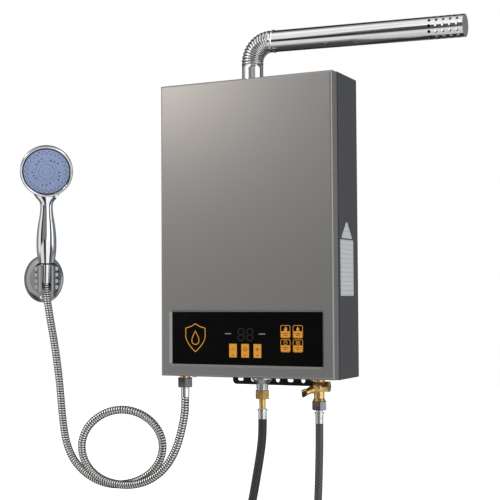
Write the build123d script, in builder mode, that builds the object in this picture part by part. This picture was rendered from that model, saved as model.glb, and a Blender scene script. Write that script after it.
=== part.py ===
from build123d import *
import os
from math import cos, pi, radians, sin, tan

# Wall-hung tankless gas water heater with flue, supply hoses and hand shower.
# Millimetres. X is to the right, +Y goes into the wall, +Z is up.
# The wall is the plane y = 0 and the origin is the middle round hole of the
# top wall strip. "Out" is a distance from the wall, so y = -out.

os.makedirs("parts", exist_ok=True)

# Cabinet
case_width = 352.0
case_height = 550.0
case_depth = 122.0
sheet = 1.0
seat_gap = 0.3
cover_skirt = 26.0
cover_lap = 12.0
cover_edge_radius = 4.0
case_corner_radius = 2.0
floor_slot_count = 7
floor_slot_length = 26.0
floor_slot_width = 4.0
floor_slot_pitch = 32.0
floor_slot_out = 22.0

# Wall strips
strip_thick = 2.0
strip_length = 191.0
strip_rise = 20.0
strip_hole_rise = 10.0
strip_lap = 30.0
strip_corner_radius = 8.0
strip_hole_pitch = 26.3
strip_hole_r = 4.5
strip_hole_count = 3
strip_slot_length = 12.5
strip_slot_width = 7.0
strip_slot_count = 4
bottom_strip_x = 11.5
rivet_r = 1.8
rivet_head_r = 3.6
rivet_head_height = 1.5
rivet_spacing = 140.0
rivet_pair = 2

# Cover screws
screw_r = 1.6
screw_hole_gap = 0.2
screw_head_r = 4.0
screw_head_height = 2.0
screw_reach = 8.0
screw_spacing = 240.0
screw_pair = 2
screw_seam_inset = 6.0

# Control panel
window_side = 23.5
window_height = 97.0
window_bevel = 4.0
window_corner_radius = 2.5
window_depth = 4.0
window_rise = 72.4
panel_lap = 4.0
panel_thick = 2.0
carrier_wall = 3.0
carrier_depth = 12.0
board_thick = 1.6
board_gap = 0.5
boss_size = 12.0
boss_height = 8.0
key_width = 15.3
key_height = 24.7
key_pitch = 24.7
key_count = 3
key_drop = 22.1
key_proud = 0.6
key_gap = 0.3
key_flange = 1.5
key_flange_thick = 1.2
key_travel = 0.8
key_rest_gap = 0.2
key_stem_r = 1.6
switch_size = 6.5
switch_height = 4.0
switch_bore_gap = 0.3
stem_room = 0.6
display_width = 38.0
display_height = 26.0
display_rise = 7.1

# Flue
flue_x = -9.0
pipe_front_room = 61.0
flue_r = 20.0
flue_wall = 1.1
collar_wall = 0.8
collar_rise = 32.0
collar_flange_r = 32.0
collar_flange_thick = 1.5
elbow_radius = 37.0
elbow_cuff = 37.0
elbow_end_cuff = 9.0
elbow_bead = 1.6
elbow_bead_width = 4.0
pleat_count = 15
pleat_depth = 1.5
pleat_rise_share = 0.25
pleat_fall_share = 0.6
pleat_foot_share = 0.85
flue_fall = 1.6
flue_length = 362.0
flue_spigot = 8.0
vent_columns = 5
vent_rows = 12
vent_pitch = 12.4
vent_r = 2.8
vent_end_gap = 10.0
cap_depth = 8.0

# Burner, heat exchanger and hood, stacked on one axis
stack_side_room = 132.0
stack_front_room = 33.0
stack_back = 19.0
burner_rise = 110.0
burner_height = 90.0
hood_room = 34.0
hood_height = 76.0
hood_neck = 14.0
bar_edge_room = 10.0
bar_width = 12.0
bar_pitch = 17.0
bar_height = 46.0
bar_end_gap = 5.0
manifold_size = 12.0
manifold_rise = 14.0
nozzle_r = 2.0
nozzle_reach = 3.0
bar_wall = 1.0
bar_throat_r = 3.0
bracket_width = 20.0
bracket_height = 15.0
bracket_inset = 30.0
pipe_r = 6.4
pipe_bore = 5.4
coil_pitch = 30.0
coil_passes = 3
coil_drop = 90.0
coil_turn_gap = 0.5
coil_stub = 4.0
coil_turn = 2.0
cold_bend = 12.0
hot_bend = 18.0
fin_edge_room = 15.0
fin_pitch = 10.0
fin_thick = 0.6
fin_margin = 12.0
tube_gap = 0.15
electrode_r = 4.0
electrode_rod_r = 1.0
electrode_flange = 2.5
electrode_length = 14.0
electrode_reach = 18.0
electrode_pitch = 45.0
electrode_drop = 24.0

# Gas valve and manifold feed
valve_width = 44.0
valve_depth = 50.0
valve_height = 65.0
solenoid_r = 9.0
solenoid_pitch = 26.0
solenoid_length = 12.0
stub_rise = 15.0
riser_r = 5.0
riser_step = 14.0
riser_bore = 4.0
riser_bend = 8.0

# Blower under the burner
blower_x = -75.0
blower_r = 45.0
blower_drop = 55.0
blower_side_room = 20.0
blower_wall = 1.5
blower_inlet_r = 24.0
duct_width = 40.0
impeller_r = 38.0
impeller_hub_r = 8.0
impeller_plate = 2.0
impeller_gap = 2.0
blade_count = 24
blade_height = 9.0
blade_thick = 1.2
shaft_r = 3.0
shaft_fit = 0.05
motor_r = 24.0
motor_length = 20.0
shaft_in_motor = 15.0

# Flow sensor on the cold side
sensor_r = 16.0
sensor_bore = 7.5
sensor_height = 60.0
spider_width = 3.0
spider_height = 3.0
spider_inset = 10.0
rotor_shaft_r = 1.0
rotor_hub_r = 3.0
rotor_tip_gap = 0.8
vane_count = 4
vane_thick = 1.2
rotor_end_gap = 1.0

# Boxes on the back wall
igniter_box_width = 40.0
igniter_box_height = 80.0
igniter_pipe_gap = 21.6
igniter_wall_gap = 10.0
supply_box_width = 40.0
supply_box_height = 70.0
supply_pipe_gap = 16.6
supply_wall_gap = 9.0
box_rise = 150.0
box_corner_radius = 3.0

# Water and gas connections under the floor
hot_inset = 19.0
gas_x = 7.0
cold_inset = 55.0
stub_r = 9.0
thread_r = 9.8
thread_gap = 0.3
lock_ring_r = 13.0
lock_ring_height = 2.0
hot_nut_flats = 27.0
hot_nut_drop = 6.0
hot_nut_height = 18.0
sleeve_r = 8.0
sleeve_length = 19.0
gas_flare_r = 19.0
gas_flare_height = 5.0
gas_taper_height = 8.0
gas_neck_r = 11.0
gas_neck_drop = 23.0
supply_nut_flats = 24.0
supply_nut_height = 16.0
gas_nut_drop = 25.0
tail_r = 5.9
tail_length = 19.0
tail_bore = 4.0
end_tail_length = 6.0
ferrule_r = 7.7
ferrule_length = 18.0
ferrule_rim = 1.5
ferrule_rim_height = 3.0
cold_barrel_r = 9.5
cold_bulge_r = 13.0
cold_bulge_drop = 15.0
cold_flare_r = 12.0
cold_flare_drop = 36.0
cold_flare_height = 5.0
cold_nut_drop = 41.5
cold_tail_length = 4.0
cold_ferrule_r = 7.2
cold_ferrule_length = 20.0
cold_plug_r = 9.0
cold_plug_reach = 20.0
drain_boss_r = 7.0
drain_boss_reach = 17.0
drain_angle = 217.0
drain_fall = 22.0
drain_stem_r = 4.0
drain_stem_length = 8.0
drain_knob_r = 6.0
drain_knob_length = 9.0
drain_fit = 0.05
wing_span = 24.0
wing_height = 8.0
wing_corner_radius = 1.8
wing_thick = 4.0
wing_tilt = 38.0
nut_lip = 3.0
nut_chamfer = 0.8

# Hoses
supply_hose_r = 8.0
supply_hose_bore = 5.0
cold_hose_r = 7.3
shower_hose_r = 8.0
shower_hose_bore = 6.6
rib_depth = 0.8
rib_count = 190
rib_shares = (0.1, 0.3, 0.7, 0.9)
plain_end = 16.0
arc_share = 0.45
hose_lead = 26.0

# Shower bracket
plate_x = -533.0
plate_z = -371.0
plate_r = 50.0
plate_edge = 3.0
plate_crown = 11.0
plate_crown_r = 28.0
plate_screw_offset = 40.0
plate_screw_r = 2.6
arm_width = 26.0
arm_height = 34.0
lug_reach = 8.0
arm_corner_radius = 5.0
holder_r = 20.0
holder_drop = 2.0
holder_length = 54.0
holder_slot = 18.0
cone_seat_gap = 0.3
tooth_count = 4
tooth_pitch = 13.0
tooth_r = 4.2
tooth_length = 16.0

# Hand shower
handset_x = -492.0
handset_out = 48.0
handset_z = -337.0
handset_turn = 36.0
handset_lean = 12.0
ring_height = 3.0
ring_r = 16.0
spigot_r = 10.2
spigot_length = 14.0
spigot_fit = 0.05
cone_top_r = 14.0
cone_bottom_r = 9.6
cone_length = 40.0
water_bore = 6.5
handle_end_r = 16.4
handle_swell_r = 19.2
handle_swell_height = 46.0
handle_upper_r = 15.6
handle_upper_height = 98.0
neck_r = 12.6
neck_height = 126.0
throat_height = 133.0
throat_half_width = 14.6
throat_half_depth = 12.4
flare_height = 140.0
flare_half_width = 19.5
flare_half_depth = 12.2
shoulder_height = 150.0
shoulder_forward = 2.4
shoulder_half_width = 25.0
shoulder_half_depth = 12.0
spine_height = 165.0
spine_forward = 7.0
spine_top_height = 184.0
spine_top_forward = 14.0
spine_top_half_depth = 8.0
spine_half_width = 29.0
spine_half_depth = 11.2
bore_height = 165.0
head_height = 190.0
head_forward = 28.0
head_tilt = 8.0
head_r = 53.0
head_depth = 25.0
head_crown_r = 24.0
face_r = 47.0
face_thick = 5.0
rim_height = 7.0
rim_fit = 0.3
rim_wall = 1.8
rim_inset = 2.0
head_floor = 3.0
chamber_r = 41.0
chamber_floor_r = 20.0
lever_width = 6.5
lever_length = 5.5
lever_angle = -68.0
lever_corner_radius = 2.5
nozzle_rings = ((40.0, 36), (33.0, 28), (20.0, 18), (9.0, 8))
nozzle_bump_r = 1.1
nozzle_bump_height = 1.2

# Cord routes, chosen point by point, in millimetres
shower_hose_route = [
    (-157, -61, -623),
    (-160, -61, -645),
    (-167, -62, -676),
    (-179, -63, -710),
    (-199, -64, -740),
    (-228, -65, -763),
    (-261, -66, -776),
    (-300, -67, -780),
    (-342, -71, -772),
    (-373, -77, -746),
    (-385, -81, -708),
    (-372, -80, -669),
    (-340, -73, -641),
    (-299, -63, -630),
    (-258, -52, -640),
    (-228, -43, -667),
    (-218, -37, -704),
    (-233, -35, -743),
    (-267, -37, -771),
    (-310, -40, -784),
    (-350, -42, -784),
    (-385, -43, -773),
    (-414, -44, -754),
    (-435, -44, -729),
    (-447, -44, -698),
    (-454, -43, -662),
    (-459, -42, -622),
    (-465, -40, -580),
    (-473, -38, -538),
    (-482, -36, -496),
    (-492, -35, -454),
]
gas_hose_route = [
    (7, -61, -666),
    (3, -61, -698),
    (-4, -61, -736),
    (-13, -61, -782),
    (-25, -61, -834),
    (-33, -61, -886),
    (-36, -61, -930),
    (-36, -61, -962),
]
cold_hose_route = [
    (121, -61, -670),
    (120, -61, -711),
    (118, -61, -763),
    (115, -61, -821),
    (113, -61, -878),
    (112, -61, -929),
    (112, -61, -965),
]

# Levels and faces that follow from the sizes above
case_top = -strip_hole_rise
case_bottom = case_top - case_height
case_mid_z = (case_top + case_bottom) / 2
roof_z = case_top - sheet
back_out = strip_thick
inner_back = back_out + sheet
inner_front = case_depth - sheet
seam_out = case_depth - cover_skirt
pipe_out = case_depth - pipe_front_room
hot_x = hot_inset - case_width / 2
cold_x = case_width / 2 - cold_inset
cover_width = case_width - 2 * (sheet + seat_gap)
cover_height = case_height - 2 * (sheet + seat_gap)
screw_out = seam_out - screw_seam_inset
window_width = case_width - 2 * window_side
window_z = case_bottom + window_rise
panel_out = case_depth - window_depth
panel_back = panel_out - panel_thick
panel_width = window_width + 2 * panel_lap
panel_height = window_height + 2 * panel_lap
carrier_back = panel_back - carrier_depth
board_front = panel_back - boss_height
key_z = window_z - key_drop
collar_r = flue_r - flue_wall - seat_gap
collar_bore = collar_r - collar_wall
stack_x = flue_x
stack_width = case_width - stack_side_room
stack_depth = case_depth - stack_back - stack_front_room
stack_front = stack_back + stack_depth
stack_mid = (stack_back + stack_front) / 2
burner_z = case_bottom + burner_rise
exchanger_z = burner_z + burner_height
exchanger_height = case_top - hood_room - hood_height - exchanger_z
hood_z = exchanger_z + exchanger_height
hood_top = hood_z + hood_height
coil_z = exchanger_z + exchanger_height - coil_drop
bar_count = int((stack_width - bar_edge_room) / bar_pitch)
bar_depth = stack_depth - 2 * bar_end_gap
fin_count = int((stack_width - fin_edge_room) / fin_pitch)
blower_depth = stack_depth - blower_side_room
igniter_box_depth = pipe_out - pipe_r - igniter_pipe_gap - inner_back
igniter_box_x = case_width / 2 - sheet - igniter_wall_gap - igniter_box_width / 2
supply_box_depth = pipe_out - pipe_r - supply_pipe_gap - inner_back
supply_box_x = supply_wall_gap + supply_box_width / 2 + sheet - case_width / 2
stub_top = case_bottom + stub_rise
valve_top = stub_top + valve_height
sensor_top = stub_top + sensor_height
manifold_z = burner_z + manifold_rise
hole_fit_r = stub_r + seat_gap


def at(x, out, z):
    """A point given by its distance out from the wall."""
    return (x, -out, z)


def soft_radii(points):
    """The largest bend radius that each corner of a cord's route leaves room for."""
    corners = [Vector(*point) for point in points]
    radii = []
    for before, corner, after in zip(corners, corners[1:], corners[2:]):
        turn = (corner - before).get_angle(after - corner)
        shorter = min((corner - before).length, (after - corner).length)
        radii.append(arc_share * shorter / tan(radians(turn / 2)))
    return radii


def route_wire(points, radii):
    """A path of straight runs joined by tangent arcs."""
    with BuildLine(mode=Mode.PRIVATE) as route:
        FilletPolyline(*points, radius=radii)
    return route.wires()[0]


def tube_face(wire, outer_r, bore_r):
    """The ring-shaped section that stands square on the start of a path."""
    with BuildSketch(Plane(origin=wire @ 0, z_dir=wire % 0), mode=Mode.PRIVATE) as ring:
        Circle(outer_r)
        Circle(bore_r, mode=Mode.SUBTRACT)
    return ring.sketch


def report_cord(name, wire, radii, solid, outer_r, bore_r):
    """Print a cord's length, its bend radii and its volume against section times length."""
    expected = pi * (outer_r**2 - bore_r**2) * wire.length
    print(name, "length", round(wire.length, 1), "least radius", round(min(radii), 1))
    print(name, "radii", [round(value) for value in radii])
    print(name, "volume share", round(solid.volume / expected, 4))


# Rear case: a folded sheet tray, open at the front
with BuildPart() as rear_case:
    with BuildSketch(Plane.XZ.offset(back_out)):
        with Locations((0, case_mid_z)):
            RectangleRounded(case_width, case_height, case_corner_radius)
    extrude(amount=seam_out - back_out)
    offset(amount=-sheet, openings=rear_case.faces().sort_by(Axis.Y)[0])
    with BuildSketch(Plane.XY.offset(roof_z)):
        with Locations((flue_x, -pipe_out)):
            Circle(collar_r + seat_gap)
        with Locations((0, -screw_out)):
            with GridLocations(screw_spacing, 0, screw_pair, 1):
                Circle(screw_r + screw_hole_gap)
    extrude(amount=sheet, mode=Mode.SUBTRACT)
    with BuildSketch(Plane.XY.offset(case_bottom)):
        with Locations((hot_x, -pipe_out), (gas_x, -pipe_out), (cold_x, -pipe_out)):
            Circle(hole_fit_r)
        with Locations((0, -screw_out)):
            with GridLocations(screw_spacing, 0, screw_pair, 1):
                Circle(screw_r + screw_hole_gap)
        with Locations((0, -floor_slot_out)):
            with GridLocations(floor_slot_pitch, 0, floor_slot_count, 1):
                SlotOverall(floor_slot_length, floor_slot_width)
    extrude(amount=sheet, mode=Mode.SUBTRACT)
    with BuildSketch(Plane.XZ.offset(back_out)):
        with Locations((0, case_top - strip_lap / 2), (bottom_strip_x, case_bottom + strip_lap / 2)):
            with GridLocations(rivet_spacing, 0, rivet_pair, 1):
                Circle(rivet_r + screw_hole_gap)
    extrude(amount=sheet, mode=Mode.SUBTRACT)
rear_case.part.label = "rear_case"
export_step(rear_case.part, "parts/rear_case.step")

# Front cover: a shallow tray whose skirt slides into the rear case
with BuildPart() as front_cover:
    with BuildSketch(Plane.XZ.offset(seam_out - cover_lap)):
        with Locations((0, case_mid_z)):
            Rectangle(cover_width, cover_height)
    extrude(amount=cover_lap + cover_skirt)
    fillet(front_cover.faces().sort_by(Axis.Y)[0].edges(), cover_edge_radius)
    offset(amount=-sheet, openings=front_cover.faces().sort_by(Axis.Y)[-1])
    with BuildSketch(Plane.XZ.offset(panel_out)):
        with Locations((0, window_z)):
            Rectangle(panel_width, panel_height)
    extrude(amount=inner_front - panel_out)
    with BuildSketch(Plane.XZ.offset(panel_out)):
        with Locations((0, window_z)):
            RectangleRounded(window_width, window_height, window_corner_radius)
    with BuildSketch(Plane.XZ.offset(case_depth)):
        with Locations((0, window_z)):
            RectangleRounded(
                window_width + 2 * window_bevel,
                window_height + 2 * window_bevel,
                window_corner_radius + window_bevel,
            )
    loft(mode=Mode.SUBTRACT)
    with BuildSketch(Plane.XY.offset(case_bottom)):
        with Locations((0, -screw_out)):
            with GridLocations(screw_spacing, 0, screw_pair, 1):
                Circle(screw_r + screw_hole_gap)
    extrude(amount=case_height, mode=Mode.SUBTRACT)
front_cover.part.label = "front_cover"
export_step(front_cover.part, "parts/front_cover.step")

# Cover screws: two through the roof and two through the floor of the case
with BuildPart() as cover_screws:
    with BuildSketch(Plane.XY.offset(case_bottom)):
        with Locations((0, -screw_out)):
            with GridLocations(screw_spacing, 0, screw_pair, 1):
                Circle(screw_head_r)
    extrude(amount=-screw_head_height)
    with BuildSketch(Plane.XY.offset(case_top)):
        with Locations((0, -screw_out)):
            with GridLocations(screw_spacing, 0, screw_pair, 1):
                Circle(screw_head_r)
    extrude(amount=screw_head_height)
    with BuildSketch(Plane.XY.offset(case_bottom)):
        with Locations((0, -screw_out)):
            with GridLocations(screw_spacing, 0, screw_pair, 1):
                Circle(screw_r)
    extrude(amount=screw_reach)
    with BuildSketch(Plane.XY.offset(case_top)):
        with Locations((0, -screw_out)):
            with GridLocations(screw_spacing, 0, screw_pair, 1):
                Circle(screw_r)
    extrude(amount=-screw_reach)
cover_screws.part.label = "cover_screws"
export_step(cover_screws.part, "parts/cover_screws.step")


def strip_sketch(centre_x, edge_z, upward):
    """Outline and holes of a wall strip that stands past one edge of the case."""
    height = strip_rise + strip_lap
    middle_z = edge_z + upward * (strip_rise - strip_lap) / 2
    with BuildSketch(Plane.XZ, mode=Mode.PRIVATE) as strip:
        with Locations((centre_x, middle_z)):
            RectangleRounded(strip_length, height, strip_corner_radius)
        with Locations((centre_x, edge_z + upward * strip_hole_rise)):
            with GridLocations(2 * strip_hole_pitch, 0, strip_hole_count, 1):
                Circle(strip_hole_r, mode=Mode.SUBTRACT)
            with GridLocations(2 * strip_hole_pitch, 0, strip_slot_count, 1):
                SlotOverall(strip_slot_length, strip_slot_width, mode=Mode.SUBTRACT)
        with Locations((centre_x, edge_z - upward * strip_lap / 2)):
            with GridLocations(rivet_spacing, 0, rivet_pair, 1):
                Circle(rivet_r + screw_hole_gap, mode=Mode.SUBTRACT)
    return strip.sketch


# Top wall strip, centred on the case
with BuildPart() as top_wall_strip:
    extrude(strip_sketch(0, case_top, 1), amount=strip_thick)
top_wall_strip.part.label = "top_wall_strip"
export_step(top_wall_strip.part, "parts/top_wall_strip.step")

# Bottom wall strip, a little right of centre
with BuildPart() as bottom_wall_strip:
    extrude(strip_sketch(bottom_strip_x, case_bottom, -1), amount=strip_thick)
bottom_wall_strip.part.label = "bottom_wall_strip"
export_step(bottom_wall_strip.part, "parts/bottom_wall_strip.step")

# Rivets that hold the strips to the back of the case
with BuildPart() as strip_rivets:
    with BuildSketch(Plane.XZ):
        with Locations((0, case_top - strip_lap / 2), (bottom_strip_x, case_bottom + strip_lap / 2)):
            with GridLocations(rivet_spacing, 0, rivet_pair, 1):
                Circle(rivet_r)
    extrude(amount=inner_back + rivet_head_height)
    with BuildSketch(Plane.XZ.offset(inner_back)):
        with Locations((0, case_top - strip_lap / 2), (bottom_strip_x, case_bottom + strip_lap / 2)):
            with GridLocations(rivet_spacing, 0, rivet_pair, 1):
                Circle(rivet_head_r)
    extrude(amount=rivet_head_height)
strip_rivets.part.label = "strip_rivets"
export_step(strip_rivets.part, "parts/strip_rivets.step")

# Control panel: a dark acrylic plate behind the window, with three key openings
with BuildPart() as control_panel:
    with BuildSketch(Plane.XZ.offset(panel_back)):
        with Locations((0, window_z)):
            Rectangle(panel_width, panel_height)
        with Locations((0, key_z)):
            with GridLocations(key_pitch, 0, key_count, 1):
                Rectangle(key_width + 2 * key_gap, key_height + 2 * key_gap, mode=Mode.SUBTRACT)
    extrude(amount=panel_thick)
control_panel.part.label = "control_panel"
export_step(control_panel.part, "parts/control_panel.step")

# Panel carrier: a frame behind the panel, with four bosses for the board
with BuildPart() as panel_carrier:
    with BuildSketch(Plane.XZ.offset(carrier_back)):
        with Locations((0, window_z)):
            Rectangle(panel_width, panel_height)
            Rectangle(panel_width - 2 * carrier_wall, panel_height - 2 * carrier_wall, mode=Mode.SUBTRACT)
    extrude(amount=carrier_depth)
    with BuildSketch(Plane.XZ.offset(board_front)):
        with Locations((0, window_z)):
            with GridLocations(
                panel_width - 2 * carrier_wall - boss_size,
                panel_height - 2 * carrier_wall - boss_size,
                2,
                2,
            ):
                Rectangle(boss_size, boss_size)
    extrude(amount=boss_height)
panel_carrier.part.label = "panel_carrier"
export_step(panel_carrier.part, "parts/panel_carrier.step")

# Control board with three push switches that the key stems enter
switch_bore_r = key_stem_r + switch_bore_gap
stem_end = board_front + key_travel + stem_room
with BuildPart() as control_board:
    with BuildSketch(Plane.XZ.offset(board_front - board_thick)):
        with Locations((0, window_z)):
            Rectangle(
                panel_width - 2 * carrier_wall - 2 * board_gap,
                panel_height - 2 * carrier_wall - 2 * board_gap,
            )
    extrude(amount=board_thick)
    with BuildSketch(Plane.XZ.offset(board_front)):
        with Locations((0, key_z)):
            with GridLocations(key_pitch, 0, key_count, 1):
                Rectangle(switch_size, switch_size)
                Circle(switch_bore_r, mode=Mode.SUBTRACT)
    extrude(amount=switch_height)
control_board.part.label = "control_board"
export_step(control_board.part, "parts/control_board.step")

# Two-digit display block on the board
with BuildPart() as display_module:
    with BuildSketch(Plane.XZ.offset(board_front)):
        with Locations((0, window_z + display_rise)):
            Rectangle(display_width, display_height)
    extrude(amount=panel_back - seat_gap - board_front)
display_module.part.label = "display_module"
export_step(display_module.part, "parts/display_module.step")


def key_solid(centre_x):
    """A push key: cap in the panel opening, flange behind it and a stem to its switch."""
    flange_front = panel_back - key_rest_gap
    with BuildPart(mode=Mode.PRIVATE) as key:
        with BuildSketch(Plane.XZ.offset(flange_front - key_flange_thick)):
            with Locations((centre_x, key_z)):
                Rectangle(key_width + 2 * key_flange, key_height + 2 * key_flange)
        extrude(amount=key_flange_thick)
        with BuildSketch(Plane.XZ.offset(flange_front)):
            with Locations((centre_x, key_z)):
                Rectangle(key_width, key_height)
        extrude(amount=panel_out + key_proud - flange_front)
        with BuildSketch(Plane.XZ.offset(stem_end)):
            with Locations((centre_x, key_z)):
                Circle(key_stem_r)
        extrude(amount=flange_front - stem_end)
    return key.part


# Left key: minus
with BuildPart() as minus_key:
    add(key_solid(-key_pitch))
minus_key.part.label = "minus_key"
export_step(minus_key.part, "parts/minus_key.step")

# Middle key: power
with BuildPart() as power_key:
    add(key_solid(0))
power_key.part.label = "power_key"
export_step(power_key.part, "parts/power_key.step")

# Right key: plus
with BuildPart() as plus_key:
    add(key_solid(key_pitch))
plus_key.part.label = "plus_key"
export_step(plus_key.part, "parts/plus_key.step")

# Flue collar: a spigot through the roof, with a flange that sits on it
collar_bottom = hood_top - hood_neck
collar_top = case_top + collar_rise
with BuildPart() as flue_collar:
    with BuildSketch(Plane.XY.offset(collar_bottom)):
        with Locations((flue_x, -pipe_out)):
            Circle(collar_r)
    extrude(amount=collar_top - collar_bottom)
    with BuildSketch(Plane.XY.offset(case_top)):
        with Locations((flue_x, -pipe_out)):
            Circle(collar_flange_r)
    extrude(amount=collar_flange_thick)
    with BuildSketch(Plane.XY.offset(collar_bottom)):
        with Locations((flue_x, -pipe_out)):
            Circle(collar_bore)
    extrude(amount=collar_top - collar_bottom, mode=Mode.SUBTRACT)
flue_collar.part.label = "flue_collar"
export_step(flue_collar.part, "parts/flue_collar.step")

# Flue elbow: plain cuff over the spigot, pleated bend, plain end with a bead
elbow_bottom = case_top + collar_flange_thick + seat_gap
bend_start = elbow_bottom + elbow_cuff
bend_angle = 90.0 + flue_fall
bend_centre = Vector(flue_x + elbow_radius, -pipe_out, bend_start)
flue_bore = flue_r - flue_wall
flue_side = (0, 1, 0)


def bend_plane(angle):
    """The plane square to the elbow's centre line after the given turn."""
    turn = radians(angle)
    centre = bend_centre + Vector(-elbow_radius * cos(turn), 0, elbow_radius * sin(turn))
    return Plane(origin=centre, x_dir=flue_side, z_dir=(sin(turn), 0, cos(turn)))


pleat_turn = bend_angle / pleat_count
pleat_outline = (
    (0.0, pleat_depth),
    (pleat_rise_share, 0.0),
    (pleat_fall_share, 0.0),
    (pleat_foot_share, pleat_depth),
)
elbow_end_plane = bend_plane(bend_angle)
pipe_plane = elbow_end_plane.offset(elbow_end_cuff)
with BuildPart() as flue_elbow:
    with BuildSketch(Plane.XY.offset(elbow_bottom)):
        with Locations((flue_x, -pipe_out)):
            Circle(flue_r)
    extrude(amount=elbow_cuff)
    for pleat in range(pleat_count):
        for share, depth in pleat_outline:
            with BuildSketch(bend_plane((pleat + share) * pleat_turn)):
                Circle(flue_r - depth)
    with BuildSketch(elbow_end_plane):
        Circle(flue_r - pleat_depth)
    loft(ruled=True)
    with BuildSketch(elbow_end_plane):
        Circle(flue_r)
    extrude(amount=elbow_end_cuff)
    with BuildSketch(elbow_end_plane.offset(elbow_end_cuff - elbow_bead_width)):
        Circle(flue_r + elbow_bead)
    extrude(amount=elbow_bead_width)
    with BuildLine() as elbow_line:
        Line(at(flue_x, pipe_out, elbow_bottom), at(flue_x, pipe_out, bend_start))
        ThreePointArc(
            at(flue_x, pipe_out, bend_start),
            bend_plane(bend_angle / 2).origin,
            elbow_end_plane.origin,
        )
        Line(elbow_end_plane.origin, pipe_plane.origin)
    with BuildSketch(Plane.XY.offset(elbow_bottom)):
        with Locations((flue_x, -pipe_out)):
            Circle(flue_r - pleat_depth - collar_wall)
    sweep(path=elbow_line.wires()[0], mode=Mode.SUBTRACT)
    with BuildSketch(Plane.XY.offset(elbow_bottom)):
        with Locations((flue_x, -pipe_out)):
            Circle(flue_bore)
    extrude(amount=collar_top + sheet - elbow_bottom, mode=Mode.SUBTRACT)
    with BuildSketch(pipe_plane):
        Circle(flue_bore)
    extrude(amount=-(flue_spigot + seat_gap), mode=Mode.SUBTRACT)
flue_elbow.part.label = "flue_elbow"
export_step(flue_elbow.part, "parts/flue_elbow.step")

# Flue pipe: falls a little towards its vented end
flue_thin_bore = flue_r - collar_wall
spigot_outer_r = flue_bore - seat_gap
with BuildPart() as flue_pipe:
    with BuildSketch(pipe_plane):
        Circle(flue_r)
    extrude(amount=flue_length)
    with BuildSketch(pipe_plane):
        Circle(spigot_outer_r)
    extrude(amount=-flue_spigot)
    with BuildSketch(pipe_plane.offset(-flue_spigot)):
        Circle(spigot_outer_r - collar_wall)
    extrude(amount=flue_spigot + flue_length, mode=Mode.SUBTRACT)
    with BuildSketch(pipe_plane.offset(flue_spigot)):
        Circle(flue_thin_bore)
    extrude(amount=flue_length - flue_spigot, mode=Mode.SUBTRACT)
    vent_middle = flue_length - vent_end_gap - (vent_columns - 1) * vent_pitch / 2
    for row in range(vent_rows // 2):
        row_turn = radians(360.0 / vent_rows * row)
        row_out = pipe_plane.x_dir * cos(row_turn) + pipe_plane.y_dir * sin(row_turn)
        row_centre = pipe_plane.offset(vent_middle).origin
        row_plane = Plane(origin=row_centre, x_dir=pipe_plane.z_dir, z_dir=row_out)
        with BuildSketch(row_plane):
            with GridLocations(vent_pitch, 0, vent_columns, 1):
                Circle(vent_r)
        extrude(amount=flue_r + sheet, both=True, mode=Mode.SUBTRACT)
flue_pipe.part.label = "flue_pipe"
export_step(flue_pipe.part, "parts/flue_pipe.step")

# Flue end cap: a cup pressed into the pipe, flush with its end
cap_r = flue_thin_bore - tube_gap
with BuildPart() as flue_end_cap:
    with BuildSketch(pipe_plane.offset(flue_length - cap_depth)):
        Circle(cap_r)
    extrude(amount=cap_depth)
    with BuildSketch(pipe_plane.offset(flue_length - cap_depth)):
        Circle(cap_r - sheet)
    extrude(amount=cap_depth - sheet, mode=Mode.SUBTRACT)
flue_end_cap.part.label = "flue_end_cap"
export_step(flue_end_cap.part, "parts/flue_end_cap.step")

# Flue hood: from the top of the heat exchanger to a neck round the collar
hood_neck_bore = collar_r + seat_gap
hood_neck_r = hood_neck_bore + sheet
with BuildPart() as flue_hood:
    with BuildSketch(Plane.XY.offset(hood_z)):
        with Locations((stack_x, -stack_mid)):
            Rectangle(stack_width, stack_depth)
    with BuildSketch(Plane.XY.offset(collar_bottom)):
        with Locations((flue_x, -pipe_out)):
            Circle(hood_neck_r)
    loft()
    with BuildSketch(Plane.XY.offset(collar_bottom)):
        with Locations((flue_x, -pipe_out)):
            Circle(hood_neck_r)
    extrude(amount=hood_neck)
    with BuildSketch(Plane.XY.offset(hood_z)):
        with Locations((stack_x, -stack_mid)):
            Rectangle(stack_width - 2 * sheet, stack_depth - 2 * sheet)
    with BuildSketch(Plane.XY.offset(collar_bottom)):
        with Locations((flue_x, -pipe_out)):
            Circle(hood_neck_bore)
    loft(mode=Mode.SUBTRACT)
    with BuildSketch(Plane.XY.offset(collar_bottom)):
        with Locations((flue_x, -pipe_out)):
            Circle(hood_neck_bore)
    extrude(amount=hood_neck, mode=Mode.SUBTRACT)
flue_hood.part.label = "flue_hood"
export_step(flue_hood.part, "parts/flue_hood.step")

# Heat exchanger shell: an open copper duct with holes for the water coil
stack_right = stack_x + stack_width / 2
stack_left = stack_x - stack_width / 2
coil_levels = [coil_z + level * coil_pitch for level in range(coil_passes)]
with BuildPart() as exchanger_shell:
    with BuildSketch(Plane.XY.offset(exchanger_z)):
        with Locations((stack_x, -stack_mid)):
            Rectangle(stack_width, stack_depth)
            Rectangle(stack_width - 2 * sheet, stack_depth - 2 * sheet, mode=Mode.SUBTRACT)
    extrude(amount=exchanger_height)
    with BuildSketch(Plane.YZ.offset(stack_left)):
        with Locations(*[(-pipe_out, level) for level in coil_levels]):
            Circle(pipe_r + tube_gap)
    extrude(amount=stack_width, mode=Mode.SUBTRACT)
exchanger_shell.part.label = "exchanger_shell"
export_step(exchanger_shell.part, "parts/exchanger_shell.step")

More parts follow.
